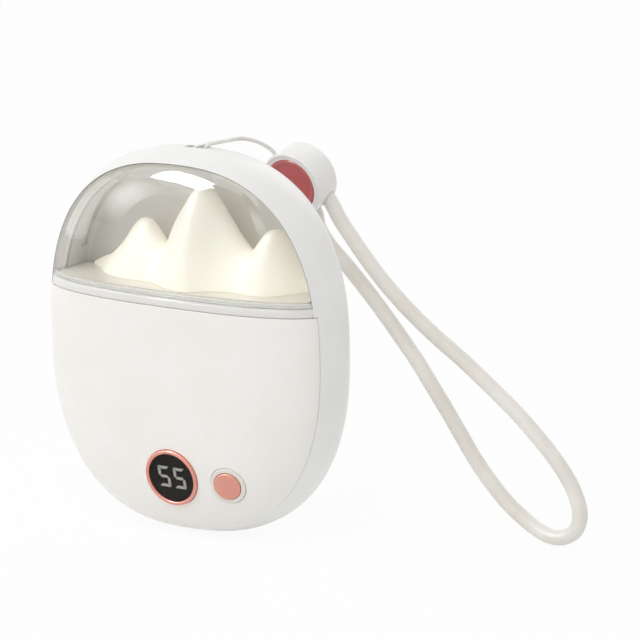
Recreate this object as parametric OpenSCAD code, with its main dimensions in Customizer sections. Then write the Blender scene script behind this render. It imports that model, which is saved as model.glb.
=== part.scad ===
// Rechargeable hand warmer with a lit mountain scene behind a window, and a wrist strap.
// The body stands upright and faces -Y. The origin is under the body's centre, on the surface.

/* [Body] */
// Overall width of the body
body_w = 69.4; // [67:0.2:72]
// Overall height above the surface that it stands on
body_h = 81.3; // [79.5:0.1:83]
// Overall depth, front apex to rear apex
body_d = 25.3; // [25:0.1:27]
// Height of the body's widest level above the surface
mid_h = 40.5; // [40:0.1:41]
// Depth that the flat base takes off the rounded bottom
base_cut = 0.7; // [0.5:0.05:0.8]
// Height of the front dome above the seam
front_dome = 7.9; // [7.7:0.05:8.1]
// Height of the rear dome behind the widest line
rear_dome = 11.3; // [11.1:0.05:11.6]
// Inset of the front seam from the widest line
seam_bulge = 1.7; // [1.5:0.05:1.9]
// How far the front seam curves forward at the top and bottom
seam_bow = 1.2; // [0.8:0.1:1.4]
// Squareness of the outline above the widest level
top_squareness = 2.47; // [2.4:0.01:2.55]
// Squareness of the outline below the widest level
bottom_squareness = 2.4; // [2.3:0.01:2.5]
// Wall of the housing
wall = 1.8; // [1.6:0.05:2]
// Wall of the front cover
cover_wall = 1.6; // [1.4:0.05:1.7]
// Wall of the rear cover
rear_wall = 1.4; // [1.2:0.05:1.5]
// Gap at each visible seam
seam_gap = 0.15; // [0.1:0.05:0.25]
// Height of the tongue that locates a cover
tongue_h = 1.2; // [0.8:0.1:1.5]
// Thickness of the tongue that locates a cover
tongue_t = 0.9; // [0.7:0.1:1]
// Width of the rear cover at its widest
rear_cover_w = 62.6; // [61:0.2:63]
// Width of the lip that the rear cover sits on
rear_lip_w = 1.8; // [1.4:0.1:2]
// Thickness of that lip
rear_lip_t = 1; // [0.8:0.1:1.1]

/* [Window] */
// Height of the band's lower edge above the surface
band_z = 50.4; // [50:0.1:51]
// Height of the band under the window
band_h = 2.5; // [2.2:0.1:2.8]
// Depth that the lens is let into the band
band_rebate = 0.6; // [0.4:0.1:0.8]
// Setback of the band's face behind the dome
band_setback = 0.3; // [0.2:0.05:0.4]
// Thickness of the band's rear wall
band_wall = 0.8; // [0.7:0.05:1]
// Width of the arch's front rim
rim_w = 0.35; // [0.3:0.05:0.45]
// Gap between the rim and the lens
lens_groove = 0.15; // [0.1:0.05:0.2]
// Depth of the lens's face behind the dome
lens_setback = 0.7; // [0.6:0.05:0.9]
// Thickness of the lens
lens_t = 1.4; // [1.2:0.1:1.5]
// Width of the ledge that carries the lens
lens_ledge_w = 1.65; // [1.4:0.05:1.8]
// Thickness of that ledge
lens_ledge_t = 1.3; // [1:0.1:1.4]
// Thickness of the adhesive gasket behind the lens
gasket_t = 0.3; // [0.2:0.05:0.35]
// Wall of the scene's shell
scene_wall = 0.8; // [0.7:0.05:0.9]
// Inset of the scene's shell from the widest line
scene_inset = 3.3; // [3.2:0.05:3.6]
// Inside of the scene's rear wall, behind the widest line
scene_back = 3.35; // [3.25:0.05:3.45]
// Thickness of the scene's floor
scene_floor_t = 1; // [0.8:0.1:1.1]
// Rise of the scene's floor above the band
scene_floor_rise = 0.2; // [0.1:0.05:0.3]
// Space from the middle mountain's peak to the top of the body
peak_gap = 6.7; // [6.5:0.1:9]
// Space on the floor at each end of the mountain range
range_margin = 3.4; // [3.4:0.1:5]
// Depth of the mountain range at the middle mountain
range_d = 14.6; // [13:0.1:14.7]

/* [Display and button] */
// X of the display's centre
display_x = 0.5; // [0:0.1:1]
// Height of the display's centre
display_z = 13.4; // [13:0.1:13.8]
// Outer diameter of the display's ring
display_ring_d = 12.5; // [12:0.1:12.8]
// Width of the display's ring
display_ring_w = 0.8; // [0.6:0.05:0.9]
// Downward tilt of the display in degrees
display_tilt = 9.2; // [8:0.1:10]
// Height of the numerals
digit_h = 4.66; // [4.4:0.02:4.8]
// Width of one numeral
digit_w = 2.7; // [2.5:0.05:2.8]
// X of the button's centre
button_x = 13.8; // [13.5:0.1:14]
// Height of the button's centre
button_z = 13.3; // [13:0.1:13.6]
// Diameter of the button's cap
button_d = 5.9; // [5.6:0.1:6.1]
// Outer diameter of the button's ring
button_ring_d = 8; // [7.8:0.1:8.2]
// Travel of the button
button_travel = 0.4; // [0.3:0.05:0.45]
// Downward tilt of the button in degrees
button_tilt = 11.2; // [10:0.1:12]
// Turn of the button to the right in degrees
button_turn = 8.8; // [8:0.1:10]
// Diameter of the cap's stem
stem_d = 2.4; // [2:0.1:2.6]

/* [Heaters] */
// Space between the front heat plate and the body's widest line, each side
front_plate_side = 12.7; // [11.7:0.1:14.7]
// Height of the front heat plate's lower edge
front_plate_z = 22; // [21.5:0.1:23]
// Space between the rear heat plate and the body's widest line, each side
rear_plate_side = 14.7; // [13.7:0.1:16.7]
// Height of the rear heat plate's lower edge
rear_plate_z = 14.5; // [14:0.1:16]
// Space between both heat plates' upper edge and the band
plate_top_gap = 1.6; // [1.4:0.1:4.4]
// Thickness of the aluminium heat plates
plate_t = 0.8; // [0.6:0.05:0.9]
// Thickness of the heater films
film_t = 0.2; // [0.15:0.01:0.25]
// Glue gap between a cover, its heat plate and its film
glue_gap = 0.1; // [0.05:0.01:0.12]
// Margin of a heater film inside its plate
film_margin = 1.5; // [1:0.1:2.5]

/* [Battery and frame] */
// Space between the rear battery cell and the body's widest line, each side
rear_cell_side = 14.7; // [14.4:0.1:15.7]
// Height of the rear battery cell
rear_cell_h = 34.5; // [32:0.5:34.5]
// Thickness of the rear battery cell
rear_cell_t = 6.2; // [5.8:0.1:6.4]
// Space between the front battery cell and the body's widest line, each side
front_cell_side = 12.7; // [12.2:0.1:14.7]
// Height of the front battery cell
front_cell_h = 19.5; // [18:0.5:19.5]
// Thickness of the front battery cell
front_cell_t = 6; // [5.6:0.1:6.2]
// Gap round a battery cell
cell_gap = 0.3; // [0.2:0.05:0.4]
// Thickness of the inner frame's plate
frame_t = 1; // [0.9:0.05:1.1]
// Front face of the inner frame, ahead of the widest line
frame_setback = 2.25; // [2.15:0.05:2.35]
// Wall of the inner frame round the rear cell
frame_wall = 1.1; // [1:0.1:1.3]
// Depth of that wall behind the plate
frame_wall_d = 4.4; // [4:0.1:4.6]
// Height of the inner frame's lower edge
frame_z = 12.6; // [12.4:0.1:12.8]
// Space between the inner frame's upper edge and the band
frame_top_gap = 0.2; // [0.2:0.1:0.8]
// Diameter of the housing's screw bosses
boss_d = 5; // [4.8:0.1:5.2]
// Depth of the housing's screw bosses
boss_h = 5.3; // [5:0.1:5.4]
// Upper screws' distance inside the housing's wall
upper_screw_side = 2.82; // [2.6:0.02:3]
// Height of the upper screws
upper_screw_z = 36; // [34:0.5:38]
// Lower screws' distance inside the housing's wall
lower_screw_side = 3.46; // [3.2:0.02:3.6]
// Height of the lower screws
lower_screw_z = 12; // [11.8:0.1:12.4]

/* [Main board] */
// Space between the main board and the body's widest line, each side
board_side = 15.7; // [15.4:0.1:16.7]
// Height of the main board's lower edge
board_z = 4.6; // [4.4:0.1:5]
// Height of the main board
board_h = 21.4; // [20.8:0.1:21.6]
// Thickness of the main board
board_t = 1.2; // [1:0.1:1.2]
// Front face of the main board, behind the front seam
board_setback = 0.35; // [0.25:0.05:0.45]
// Width of the charging socket
usb_w = 8.94; // [8.9:0.01:9]
// Height of the charging socket
usb_h = 3.2; // [3.1:0.01:3.26]
// Length of the charging socket
usb_l = 7.3; // [7:0.1:7.5]
// Height of the charging socket's mouth above the surface
usb_mouth_z = 0.9; // [0.8:0.05:1.2]

/* [Strap] */
// Diameter of the silicone strap
strap_d = 3.2; // [3:0.1:3.4]
// Diameter of the cord
cord_d = 0.8; // [0.7:0.05:0.85]
// Diameter of the drum
drum_d = 14.5; // [14:0.1:15]
// Length of the drum
drum_l = 7; // [6.8:0.1:7.4]
// Diameter of the drum's coloured cap
drum_cap_d = 11.7; // [11.4:0.1:12]
// Diameter of the bar that the cord loops round
eyelet_bar_d = 2; // [1.8:0.05:2.1]
// Length of that bar
eyelet_bar_l = 5.4; // [5:0.1:5.6]

/* [Hidden] */

// How far a cut runs past what it cuts
overrun = 1;
// Clearance of a part that only has to drop in
fit = 0.15;
// Clearance of a sliding part
slide_fit = 0.07;

// Exponents that round the front and rear domes
front_shoulder = 2.83;
front_round = 0.6;
rear_shoulder = 2.86;
rear_round = 0.35;

turn_steps = 72;
turns = [for (i = [0:turn_steps - 1]) i * 360 / turn_steps];
dome_shares = [0.12, 0.3, 0.48, 0.64, 0.78, 0.88, 0.95, 0.985];

top_h = body_h - mid_h;
bottom_h = mid_h + base_cut;
seam_y0 = front_dome - body_d / 2;
widest_y = body_d / 2 - rear_dome;
seam_half_w = body_w / 2 - seam_bulge;
rear_k = rear_cover_w / body_w;
lip_k = rear_k - rear_lip_w / (body_w / 2);
band_top_z = band_z + band_h;
rim_k = 1 - rim_w / seam_half_w;
lens_k = rim_k - lens_groove / seam_half_w;
ledge_k = rim_k - lens_ledge_w / seam_half_w;
scene_floor_z = band_top_z + scene_floor_rise;
scene_back_y = widest_y + scene_back;
frame_y = widest_y - frame_setback;
frame_h = band_z - frame_top_gap - frame_z;
board_y = seam_y0 + board_setback;
board_w = body_w - 2 * board_side;
rear_cell_w = body_w - 2 * rear_cell_side;
front_cell_w = body_w - 2 * front_cell_side;
rear_plate_w = body_w - 2 * rear_plate_side;
front_plate_w = body_w - 2 * front_plate_side;
plate_top_z = band_z - plate_top_gap;

// Signed power
function lobe(a, e) = sign(a) * pow(abs(a), e);

// A point of the body's outline at a turn in degrees, inset and then scaled, seen from the front
function outline_at(turn, inset, k) =
    let (upper = sin(turn) >= 0)
    let (n = upper ? top_squareness : bottom_squareness)
    let (h = (upper ? top_h : bottom_h) - inset)
    [k * (body_w / 2 - inset) * lobe(cos(turn), 2 / n), k * h * lobe(sin(turn), 2 / n)];

// Y of the front seam at a height above the widest level
function seam_y(z) = seam_y0 - seam_bow * pow(z / top_h, 2);

// Share of the front dome's height at a level from 0 at the apex to 1 at the seam
function front_rise(k) = pow(max(0, 1 - pow(k, front_shoulder)), front_round);
function rear_rise(k) = pow(max(0, 1 - pow(k, rear_shoulder)), rear_round);

// A point at a turn, inset and scale, its Y counted from the front seam
function from_seam(turn, inset, k, y) =
    let (p = outline_at(turn, inset, k))
    [p[0], seam_y(p[1]) + y, mid_h + p[1]];

// The same with an absolute Y
function at_y(turn, inset, k, y) =
    let (p = outline_at(turn, inset, k))
    [p[0], y, mid_h + p[1]];

// A point of the skin that lies a depth behind the front dome, and inside the rear dome
function front_skin(turn, k, depth) =
    from_seam(turn, seam_bulge + depth, k, (depth - front_dome) * front_rise(k));
function rear_skin(turn, k, depth) =
    at_y(turn, depth, k, widest_y + (rear_dome - depth) * rear_rise(k));

// Level of a place on a dome whose outline is inset, 0 at the apex and 1 at its edge
function level(x, z, inset) =
    let (n = z >= mid_h ? top_squareness : bottom_squareness)
    let (h = (z >= mid_h ? top_h : bottom_h) - inset)
    pow(pow(abs(x) / (body_w / 2 - inset), n) + pow(abs(z - mid_h) / h, n), 1 / n);

// Y at a place, a depth behind the front dome and inside the rear dome
function front_y(x, z, depth = 0) =
    seam_y(z - mid_h) + (depth - front_dome) * front_rise(level(x, z, seam_bulge + depth));
function rear_y(x, z, depth = 0) =
    widest_y + (rear_dome - depth) * rear_rise(level(x, z, depth));

// Half the width of an inset outline at a height
function half_width(z, inset) =
    let (n = z >= mid_h ? top_squareness : bottom_squareness)
    let (h = (z >= mid_h ? top_h : bottom_h) - inset)
    (body_w / 2 - inset) * pow(1 - pow(abs(z - mid_h) / h, n), 1 / n);

// Centre of a ring of points
function middle(ring) = [for (a = [0:2]) [for (p = ring) p[a]] * [for (p = ring) 1] / len(ring)];

// A smooth value between two rows of a table, through the rows on either side
function blend_rows(a, b, c, d, t) =
    (2 * b + (c - a) * t + (2 * a - 5 * b + 4 * c - d) * t * t
        + (3 * b - a - 3 * c + d) * t * t * t) / 2;

function smooth_rows(rows, steps) = [
    for (i = [0:len(rows) - 2], j = [0:steps - 1])
        blend_rows(rows[max(0, i - 1)], rows[i], rows[i + 1],
            rows[min(len(rows) - 1, i + 2)], j / steps),
    rows[len(rows) - 1]
];

// A closed solid through rings of the same number of points
module skin(rings) {
    n = len(rings[0]);
    last = len(rings) - 1;
    points = [for (r = rings) each r, middle(rings[0]), middle(rings[last])];
    sides = [for (i = [0:last - 1], j = [0:n - 1])
        let (a = i * n + j, b = i * n + (j + 1) % n)
        each [[a, b, b + n], [a, b + n, a + n]]];
    first_cap = [for (j = [0:n - 1]) [(j + 1) % n, j, (last + 1) * n]];
    last_cap = [for (j = [0:n - 1]) [last * n + j, last * n + (j + 1) % n, (last + 1) * n + 1]];
    polyhedron(points, concat(sides, first_cap, last_cap), convexity = 8);
}

// A closed ring-shaped solid through sections that follow each other all the way round
module ring_skin(sections) {
    n = len(sections[0]);
    count = len(sections);
    faces = [for (i = [0:count - 1], j = [0:n - 1])
        let (a = i * n + j, b = i * n + (j + 1) % n)
        let (c = ((i + 1) % count) * n + j, d = ((i + 1) % count) * n + (j + 1) % n)
        each [[a, d, b], [a, c, d]]];
    polyhedron([for (s = sections) each s], faces, convexity = 10);
}

// A shape drawn in X and Z, with its thickness along Y from one Y to the other
module slab(y_from, y_to) {
    translate([0, y_to, 0]) rotate([90, 0, 0]) linear_extrude(y_to - y_from) children();
}

// A box by its least corner and its size
module block(corner, size) {
    translate(corner) cube(size);
}

// A cylinder along Y by its centre line, its two Y and its diameter
module peg(x, z, y_from, y_to, d) {
    translate([x, y_to, z]) rotate([90, 0, 0]) cylinder(h = y_to - y_from, d = d, $fn = 48);
}

// The body's outline, inset, as a flat shape in X and Z
module outline_2d(inset) {
    polygon([for (t = turns) outline_at(t, inset, 1) + [0, mid_h]]);
}

// Directions across a tube at a point of its route, kept square to the travel
function unit(v) = v / norm(v);
function travel(route, i) =
    unit(route[min(len(route) - 1, i + 1)] - route[max(0, i - 1)]);
function side_of(route, i, guide) = unit(cross(travel(route, i), guide));

// A tube of one diameter along a route, its sides turned from a guide direction
module tube(route, d, sides, guide) {
    skin([for (i = [0:len(route) - 1])
        let (u = side_of(route, i, guide), v = cross(u, travel(route, i)))
        [for (j = [0:sides - 1])
            route[i] + (u * cos(j * 360 / sides) + v * sin(j * 360 / sides)) * d / 2]]);
}

// The screws that hold the inner frame: x and z of each
upper_screw_x = half_width(upper_screw_z, wall) - upper_screw_side;
lower_screw_x = half_width(lower_screw_z, wall) - lower_screw_side;
frame_screw_places = [
    [-upper_screw_x, upper_screw_z], [upper_screw_x, upper_screw_z],
    [-lower_screw_x, lower_screw_z], [lower_screw_x, lower_screw_z]
];
screw_d = 2;
screw_pilot_d = 1.7;
screw_hole_d = 2.3;
screw_head_d = 3.6;
screw_head_h = 1.1;
screw_l = 5.6;
ear_d = 4.4;
boss_y = frame_y + frame_t;

// Eyelet in the top: a pocket with a bar across it
eyelet_bar_z = body_h - 1.7 * eyelet_bar_d / 2;
eyelet_setback = 1.05;
eyelet_y = widest_y + eyelet_setback;
eyelet_w = 5.2;
eyelet_pocket_d = 2.8;
eyelet_depth = 3.8;
eyelet_wall = 0.6;
eyelet_block_w = 9;
eyelet_block_d = 6;
eyelet_block_top = 1.4;

// Half the width of the scene's floor, and the ledges in the housing that carry it
floor_ledge_w = 3.4;
floor_ledge_d = 6;
floor_ledge_t = 1.2;
floor_half_w = half_width(scene_floor_z, scene_inset) - fit;
floor_ledge_x = floor_half_w - fit;

rear_edge_y = widest_y + rear_dome * rear_rise(rear_k);
lip_y = rear_edge_y - rear_wall;
lip_front_y = lip_y - rear_lip_t;
inner_lip_k = pow(1 - pow((lip_front_y - widest_y) / (rear_dome - wall), 1 / rear_round),
    1 / rear_shoulder);

side_shares = [0, 0.25, 0.5, 0.75, 1];
rear_shares = [0.995, 0.985, 0.97, 0.945, 0.92];
inner_edge_share = 0.993;

// Inset of the side wall's bulge at a share of the way from the seam to the widest line
function bulge_inset(s) = seam_bulge * (1 - sin(90 * s));
function side_point(turn, inset, s) =
    let (p = from_seam(turn, inset + bulge_inset(s), 1, 0))
    [p[0], p[1] * (1 - s) + widest_y * s, p[2]];

// Section of the housing's wall at a turn: outside front to rear, the rear lip, inside rear to front
function housing_section(turn) = [
    for (s = side_shares) side_point(turn, 0, s),
    for (k = rear_shares) rear_skin(turn, k, 0),
    at_y(turn, 0, rear_k, rear_edge_y),
    at_y(turn, 0, rear_k, lip_y),
    at_y(turn, 0, lip_k, lip_y),
    at_y(turn, 0, lip_k, lip_front_y),
    at_y(turn, wall, inner_lip_k, lip_front_y),
    rear_skin(turn, inner_edge_share, wall),
    for (s = [1, 0.6, 0.3, 0]) side_point(turn, wall, s)
];

lens_ledge_y = (lens_setback + lens_t - front_dome * front_rise(lens_k)) + gasket_t + fit;

// Section of the arch, solid from the rim to the lens's ledge, its outer side in the wall
function arch_section(turn) = [
    from_seam(turn, seam_bulge, 1, 0),
    from_seam(turn, seam_bulge, (1 + rim_k) / 2, -front_dome * front_rise((1 + rim_k) / 2)),
    from_seam(turn, seam_bulge, rim_k, -front_dome * front_rise(rim_k)),
    from_seam(turn, seam_bulge, ledge_k, -front_dome * front_rise(rim_k)),
    from_seam(turn, seam_bulge, ledge_k, lens_ledge_y + lens_ledge_t),
    from_seam(turn, seam_bulge + wall / 4, 1, lens_ledge_y + lens_ledge_t)
];

band_half_w = seam_half_w - wall / 2;
band_steps = 24;
arch_low_turn = 10;
band_rear = lens_setback + lens_t + fit;

// Section of the band across the body at a place from left to right
function band_section(x) =
    let (low = front_y(x, band_z), high = front_y(x, band_top_z))
    [
        [x, low + band_setback, band_z],
        [x, high + band_setback, band_top_z - band_rebate],
        [x, high + band_rear, band_top_z - band_rebate],
        [x, high + band_rear, band_top_z],
        [x, high + band_rear + band_wall, band_top_z],
        [x, high + band_rear + band_wall, band_z]
    ];

module above(z) {
    block([-body_w, -body_w, z], [2 * body_w, 2 * body_w, body_h]);
}

module band() {
    skin([for (i = [0:band_steps])
        band_section(band_half_w * (2 * i / band_steps - 1))]);
}

module arch() {
    intersection() {
        skin([for (t = turns) if (t >= arch_low_turn && t <= 180 - arch_low_turn) arch_section(t)]);
        above(band_z);
    }
}

// The bore that the lens drops into from the front, which leaves the rim and the lens's ledge
module lens_bore() {
    intersection() {
        skin([for (y = [-front_dome, lens_ledge_y])
            [for (t = turns) from_seam(t, seam_bulge, rim_k, y)]]);
        above(band_top_z - band_rebate);
    }
}

usb_y = board_y + board_t + usb_h / 2;
usb_opening_w = usb_w + 2 * fit;
usb_opening_h = usb_h + 2 * fit;

// A slot with round ends, along Z, for the charging socket
module usb_slot(w, h, l) {
    translate([0, usb_y, 0]) {
        block([-(w - h) / 2, -h / 2, 0], [w - h, h, l]);
        for (side = [-1, 1])
            translate([side * (w - h) / 2, 0, 0]) cylinder(h = l, d = h, $fn = 32);
    }
}

// The block inside the top wall that holds the eyelet's bar, grown by a clearance
module eyelet_block(gap) {
    block([-eyelet_block_w / 2 - gap, eyelet_y - eyelet_block_d / 2 - gap,
            body_h - eyelet_depth - eyelet_wall - gap],
        [eyelet_block_w + 2 * gap, eyelet_block_d + 2 * gap,
            eyelet_depth + eyelet_wall - eyelet_block_top + gap]);
}

module housing() {
    color("whitesmoke")
    difference() {
        union() {
            difference() {
                union() {
                    ring_skin([for (t = turns) housing_section(t)]);
                    arch();
                }
                lens_bore();
            }
            band();
            for (p = frame_screw_places)
                peg(p[0], p[1], boss_y, boss_y + boss_h, boss_d);
            eyelet_block(0);
            for (side = [-1, 1])
                block([side * floor_ledge_x - floor_ledge_w / 2, -floor_ledge_d / 2,
                        scene_floor_z - scene_floor_t - fit - floor_ledge_t],
                    [floor_ledge_w, floor_ledge_d, floor_ledge_t]);
        }
        for (p = frame_screw_places)
            peg(p[0], p[1], boss_y - overrun, boss_y + screw_l - frame_t + fit, screw_pilot_d);
        block([-eyelet_w / 2, eyelet_y - eyelet_pocket_d / 2, body_h - eyelet_depth],
            [eyelet_w, eyelet_pocket_d, eyelet_depth + overrun]);
        peg(0, eyelet_bar_z, eyelet_y - eyelet_bar_l / 2, eyelet_y + eyelet_bar_l / 2,
            eyelet_bar_d);
        translate([0, 0, -base_cut - overrun])
            usb_slot(usb_opening_w, usb_opening_h, usb_mouth_z + wall + base_cut + 2 * overrun);
        block([-body_w, -body_w, -body_h], [2 * body_w, 2 * body_w, body_h]);
    }
}

tongue_inset = seam_bulge + wall + fit;
tongue_root = -front_dome * front_rise(1 - (wall + tongue_t) / seam_half_w) + cover_wall;

module front_cover() {
    color("white")
    difference() {
        intersection() {
            skin([
                for (k = dome_shares) [for (t = turns) front_skin(t, k, 0)],
                [for (t = turns) from_seam(t, seam_bulge, 1, -seam_gap)],
                [for (t = turns) from_seam(t, tongue_inset, 1, -seam_gap)],
                [for (t = turns) from_seam(t, tongue_inset, 1, tongue_h)],
                [for (t = turns) from_seam(t, tongue_inset + tongue_t, 1, tongue_h)],
                [for (t = turns) from_seam(t, tongue_inset + tongue_t, 1, tongue_root)],
                for (i = [4:-1:0]) [for (t = turns) front_skin(t, dome_shares[i], cover_wall)]
            ]);
            block([-body_w, -body_w, -body_h], [2 * body_w, 2 * body_w,
                body_h + band_z - seam_gap]);
        }
        display_place()
            translate([0, 0, -ring_depth - overrun])
                cylinder(h = 2 * ring_depth + overrun, d = display_ring_d + slide_fit, $fn = 64);
        button_place()
            translate([0, 0, -ring_depth - overrun])
                cylinder(h = 2 * ring_depth + overrun, d = button_ring_d + slide_fit, $fn = 48);
    }
}

skirt_k = lip_k - fit / (body_w / 2);
skirt_inner_k = skirt_k - tongue_t / (body_w / 2);
cover_edge_k = rear_k - seam_gap / (body_w / 2);
skirt_root_y = widest_y + (rear_dome - rear_wall) * rear_rise(skirt_inner_k);

module rear_cover() {
    color("whitesmoke")
    skin([
        for (i = [0:4]) [for (t = turns) rear_skin(t, dome_shares[i], rear_wall)],
        [for (t = turns) at_y(t, 0, skirt_inner_k, skirt_root_y)],
        [for (t = turns) at_y(t, 0, skirt_inner_k, lip_y - rear_lip_t)],
        [for (t = turns) at_y(t, 0, skirt_k, lip_y - rear_lip_t)],
        [for (t = turns) at_y(t, 0, skirt_k, lip_y + glue_gap)],
        [for (t = turns) at_y(t, 0, cover_edge_k, lip_y + glue_gap)],
        [for (t = turns) rear_skin(t, cover_edge_k, 0)],
        [for (t = turns) rear_skin(t, (dome_shares[4] + cover_edge_k) / 2, 0)],
        for (i = [4:-1:0]) [for (t = turns) rear_skin(t, dome_shares[i], 0)]
    ]);
}

// Y of the lens's two faces, counted from the seam, at a level
function lens_y(k, depth) = depth - front_dome * front_rise(k);
lens_shares = [0.12, 0.35, 0.55, 0.72, 0.86, 0.95, 1];

module window_lens() {
    color([0.9, 0.95, 1, 0.35])
    intersection() {
        skin([
            for (s = lens_shares) [for (t = turns)
                from_seam(t, seam_bulge, s * lens_k, lens_y(s * lens_k, lens_setback))],
            for (i = [6:-1:0]) [for (t = turns)
                from_seam(t, seam_bulge, lens_shares[i] * lens_k,
                    lens_y(lens_shares[i] * lens_k, lens_setback + lens_t))]
        ]);
        above(band_top_z - band_rebate + fit);
    }
}

module lens_gasket() {
    color("gainsboro")
    intersection() {
        skin([for (t = turns) if (t >= arch_low_turn && t <= 180 - arch_low_turn) [
            from_seam(t, seam_bulge, lens_k, lens_ledge_y - gasket_t),
            from_seam(t, seam_bulge, ledge_k + glue_gap / seam_half_w, lens_ledge_y - gasket_t),
            from_seam(t, seam_bulge, ledge_k + glue_gap / seam_half_w, lens_ledge_y - glue_gap),
            from_seam(t, seam_bulge, lens_k, lens_ledge_y - glue_gap)
        ]]);
        above(scene_floor_z + fit);
    }
}

scene_front_y = seam_y0 + lens_ledge_y + lens_ledge_t + fit;
scene_slot_w = 2.2;
scene_slot_h = 6.2;
scene_slot_z = 57;
scene_slot_setback = 0.25;
scene_slot_y = widest_y + scene_slot_setback;

// The scene's arched wall and rear wall, with a clip slot in each side
module scene_shell() {
    color("silver")
    difference() {
        union() {
            slab(scene_front_y, scene_back_y + scene_wall)
                difference() {
                    outline_2d(scene_inset);
                    outline_2d(scene_inset + scene_wall);
                }
            slab(scene_back_y, scene_back_y + scene_wall)
                outline_2d(scene_inset + scene_wall / 2);
        }
        block([-body_w, -body_w, -overrun], [2 * body_w, 2 * body_w,
            scene_floor_z + overrun + glue_gap]);
        block([-body_w, scene_slot_y, scene_slot_z],
            [2 * body_w, scene_slot_w, scene_slot_h]);
        eyelet_block(fit);
    }
}

floor_front_step = 0.6;
floor_front_half_w = floor_half_w - floor_front_step;
floor_steps = 24;
light_slot_w = 34;
light_slot_d = 3.4;
light_setback = 2.95;
light_y = widest_y - light_setback;

// The scene's floor: its front edge follows the back of the band, inside the lens's ledge
module scene_floor() {
    front_edge = [for (i = [0:floor_steps])
        let (x = floor_front_half_w * (2 * i / floor_steps - 1))
        [x, min(scene_front_y, front_y(x, band_top_z) + band_rear + band_wall + fit)]];
    floor_rear_y = scene_back_y + scene_wall;
    color("gainsboro")
    translate([0, 0, scene_floor_z - scene_floor_t])
    linear_extrude(scene_floor_t)
    difference() {
        polygon([
            [-floor_half_w, scene_front_y], [-floor_front_half_w, scene_front_y],
            each front_edge,
            [floor_front_half_w, scene_front_y], [floor_half_w, scene_front_y],
            [floor_half_w, floor_rear_y], [-floor_half_w, floor_rear_y]
        ]);
        translate([-light_slot_w / 2, light_y - light_slot_d / 2])
            square([light_slot_w, light_slot_d]);
    }
}

// The mountain range from left to right: x, height, front edge and rear edge, all as shares
mountain_shares = [
    [-0.5, 0.02, 0.24, 0.31],
    [-0.44, 0.06, 0.08, 0.31],
    [-0.37, 0.18, -0.19, 0.31],
    [-0.3, 0.35, -0.3, 0.31],
    [-0.26, 0.49, -0.33, 0.31],
    [-0.23, 0.565, -0.33, 0.31],
    [-0.205, 0.58, -0.33, 0.31],
    [-0.18, 0.555, -0.33, 0.31],
    [-0.15, 0.46, -0.34, 0.31],
    [-0.11, 0.34, -0.38, 0.31],
    [-0.075, 0.45, -0.46, 0.31],
    [-0.035, 0.65, -0.55, 0.31],
    [0.005, 0.8, -0.6, 0.31],
    [0.04, 0.93, -0.62, 0.31],
    [0.068, 0.98, -0.6, 0.31],
    [0.09, 0.975, -0.55, 0.31],
    [0.115, 0.91, -0.48, 0.31],
    [0.145, 0.78, -0.4, 0.31],
    [0.182, 0.63, -0.35, 0.31],
    [0.225, 0.47, -0.32, 0.31],
    [0.268, 0.38, -0.33, 0.31],
    [0.3, 0.47, -0.35, 0.31],
    [0.33, 0.57, -0.36, 0.31],
    [0.355, 0.6, -0.34, 0.31],
    [0.38, 0.585, -0.29, 0.31],
    [0.415, 0.45, -0.17, 0.31],
    [0.455, 0.23, 0.02, 0.31],
    [0.49, 0.04, 0.14, 0.3]
];
range_w = 2 * (floor_half_w - range_margin);
peak_h = body_h - scene_floor_z - peak_gap;
mountain_foot = 0.3;
mountain_sides = 8;

// Section of the range at one place, a rounded arch on a flat foot
function mountain_section(row) =
    let (x = row[0] * range_w, h = row[1] * peak_h)
    let (front = row[2] * range_d, rear = row[3] * range_d)
    let (floor_at = scene_floor_z + glue_gap)
    [
        [x, rear, floor_at],
        [x, front, floor_at],
        for (i = [0:mountain_sides])
            let (a = 180 * i / mountain_sides)
            [x, (front + rear) / 2 - (rear - front) / 2 * cos(a),
                floor_at + mountain_foot + (h - mountain_foot) * pow(sin(a), 1.3)]
    ];

module mountains() {
    color("ivory")
    skin([for (row = smooth_rows(mountain_shares, 2)) mountain_section(row)]);
}

light_board_w = 40;
light_board_d = 6;
light_board_t = 0.8;
light_board_z = scene_floor_z - scene_floor_t - light_board_t;
led_size = 1.6;
led_h = 0.7;
led_count = 6;
led_pitch = 5.4;

module night_light_board() {
    color("seagreen")
    block([-light_board_w / 2, light_y - light_board_d / 2, light_board_z],
        [light_board_w, light_board_d, light_board_t]);
}

module night_light_leds() {
    color("khaki")
    for (i = [0:led_count - 1])
        block([(i - (led_count - 1) / 2) * led_pitch - led_size / 2, light_y - led_size / 2,
                light_board_z + light_board_t],
            [led_size, led_size, led_h]);
}

// Display and button: places on the front, with local +Z out of the surface
ring_depth = 2.2;
ring_proud = 0.35;

module display_place() {
    translate([display_x, front_y(display_x, display_z), display_z])
        rotate([90 + display_tilt, 0, 0]) children();
}

module button_place() {
    translate([button_x, front_y(button_x, button_z), button_z])
        rotate([90 + button_tilt, 0, button_turn]) children();
}

// A ring with a rounded front, its front face proud of the surface
module bezel(d, width, depth, proud) {
    r = d / 2;
    e = width / 4;
    rotate_extrude($fn = 72)
        polygon([[r - width, -depth], [r, -depth], [r, proud - e], [r - e, proud],
            [r - width + e, proud], [r - width, proud - e]]);
}

module display_ring() {
    color("rosybrown") display_place()
        bezel(display_ring_d, display_ring_w, ring_depth, ring_proud);
}

display_bore_d = display_ring_d - 2 * display_ring_w;
glass_t = 0.35;
glass_top = 0.15;
panel_t = 1.2;
digit_t = 0.12;
digit_y = glass_top - glass_t - glue_gap / 2;
panel_y = digit_y - digit_t;

module display_glass() {
    color([0.3, 0.3, 0.3, 0.3]) display_place()
        translate([0, 0, glass_top - glass_t])
            cylinder(h = glass_t, d = display_bore_d - slide_fit, $fn = 72);
}

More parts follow.
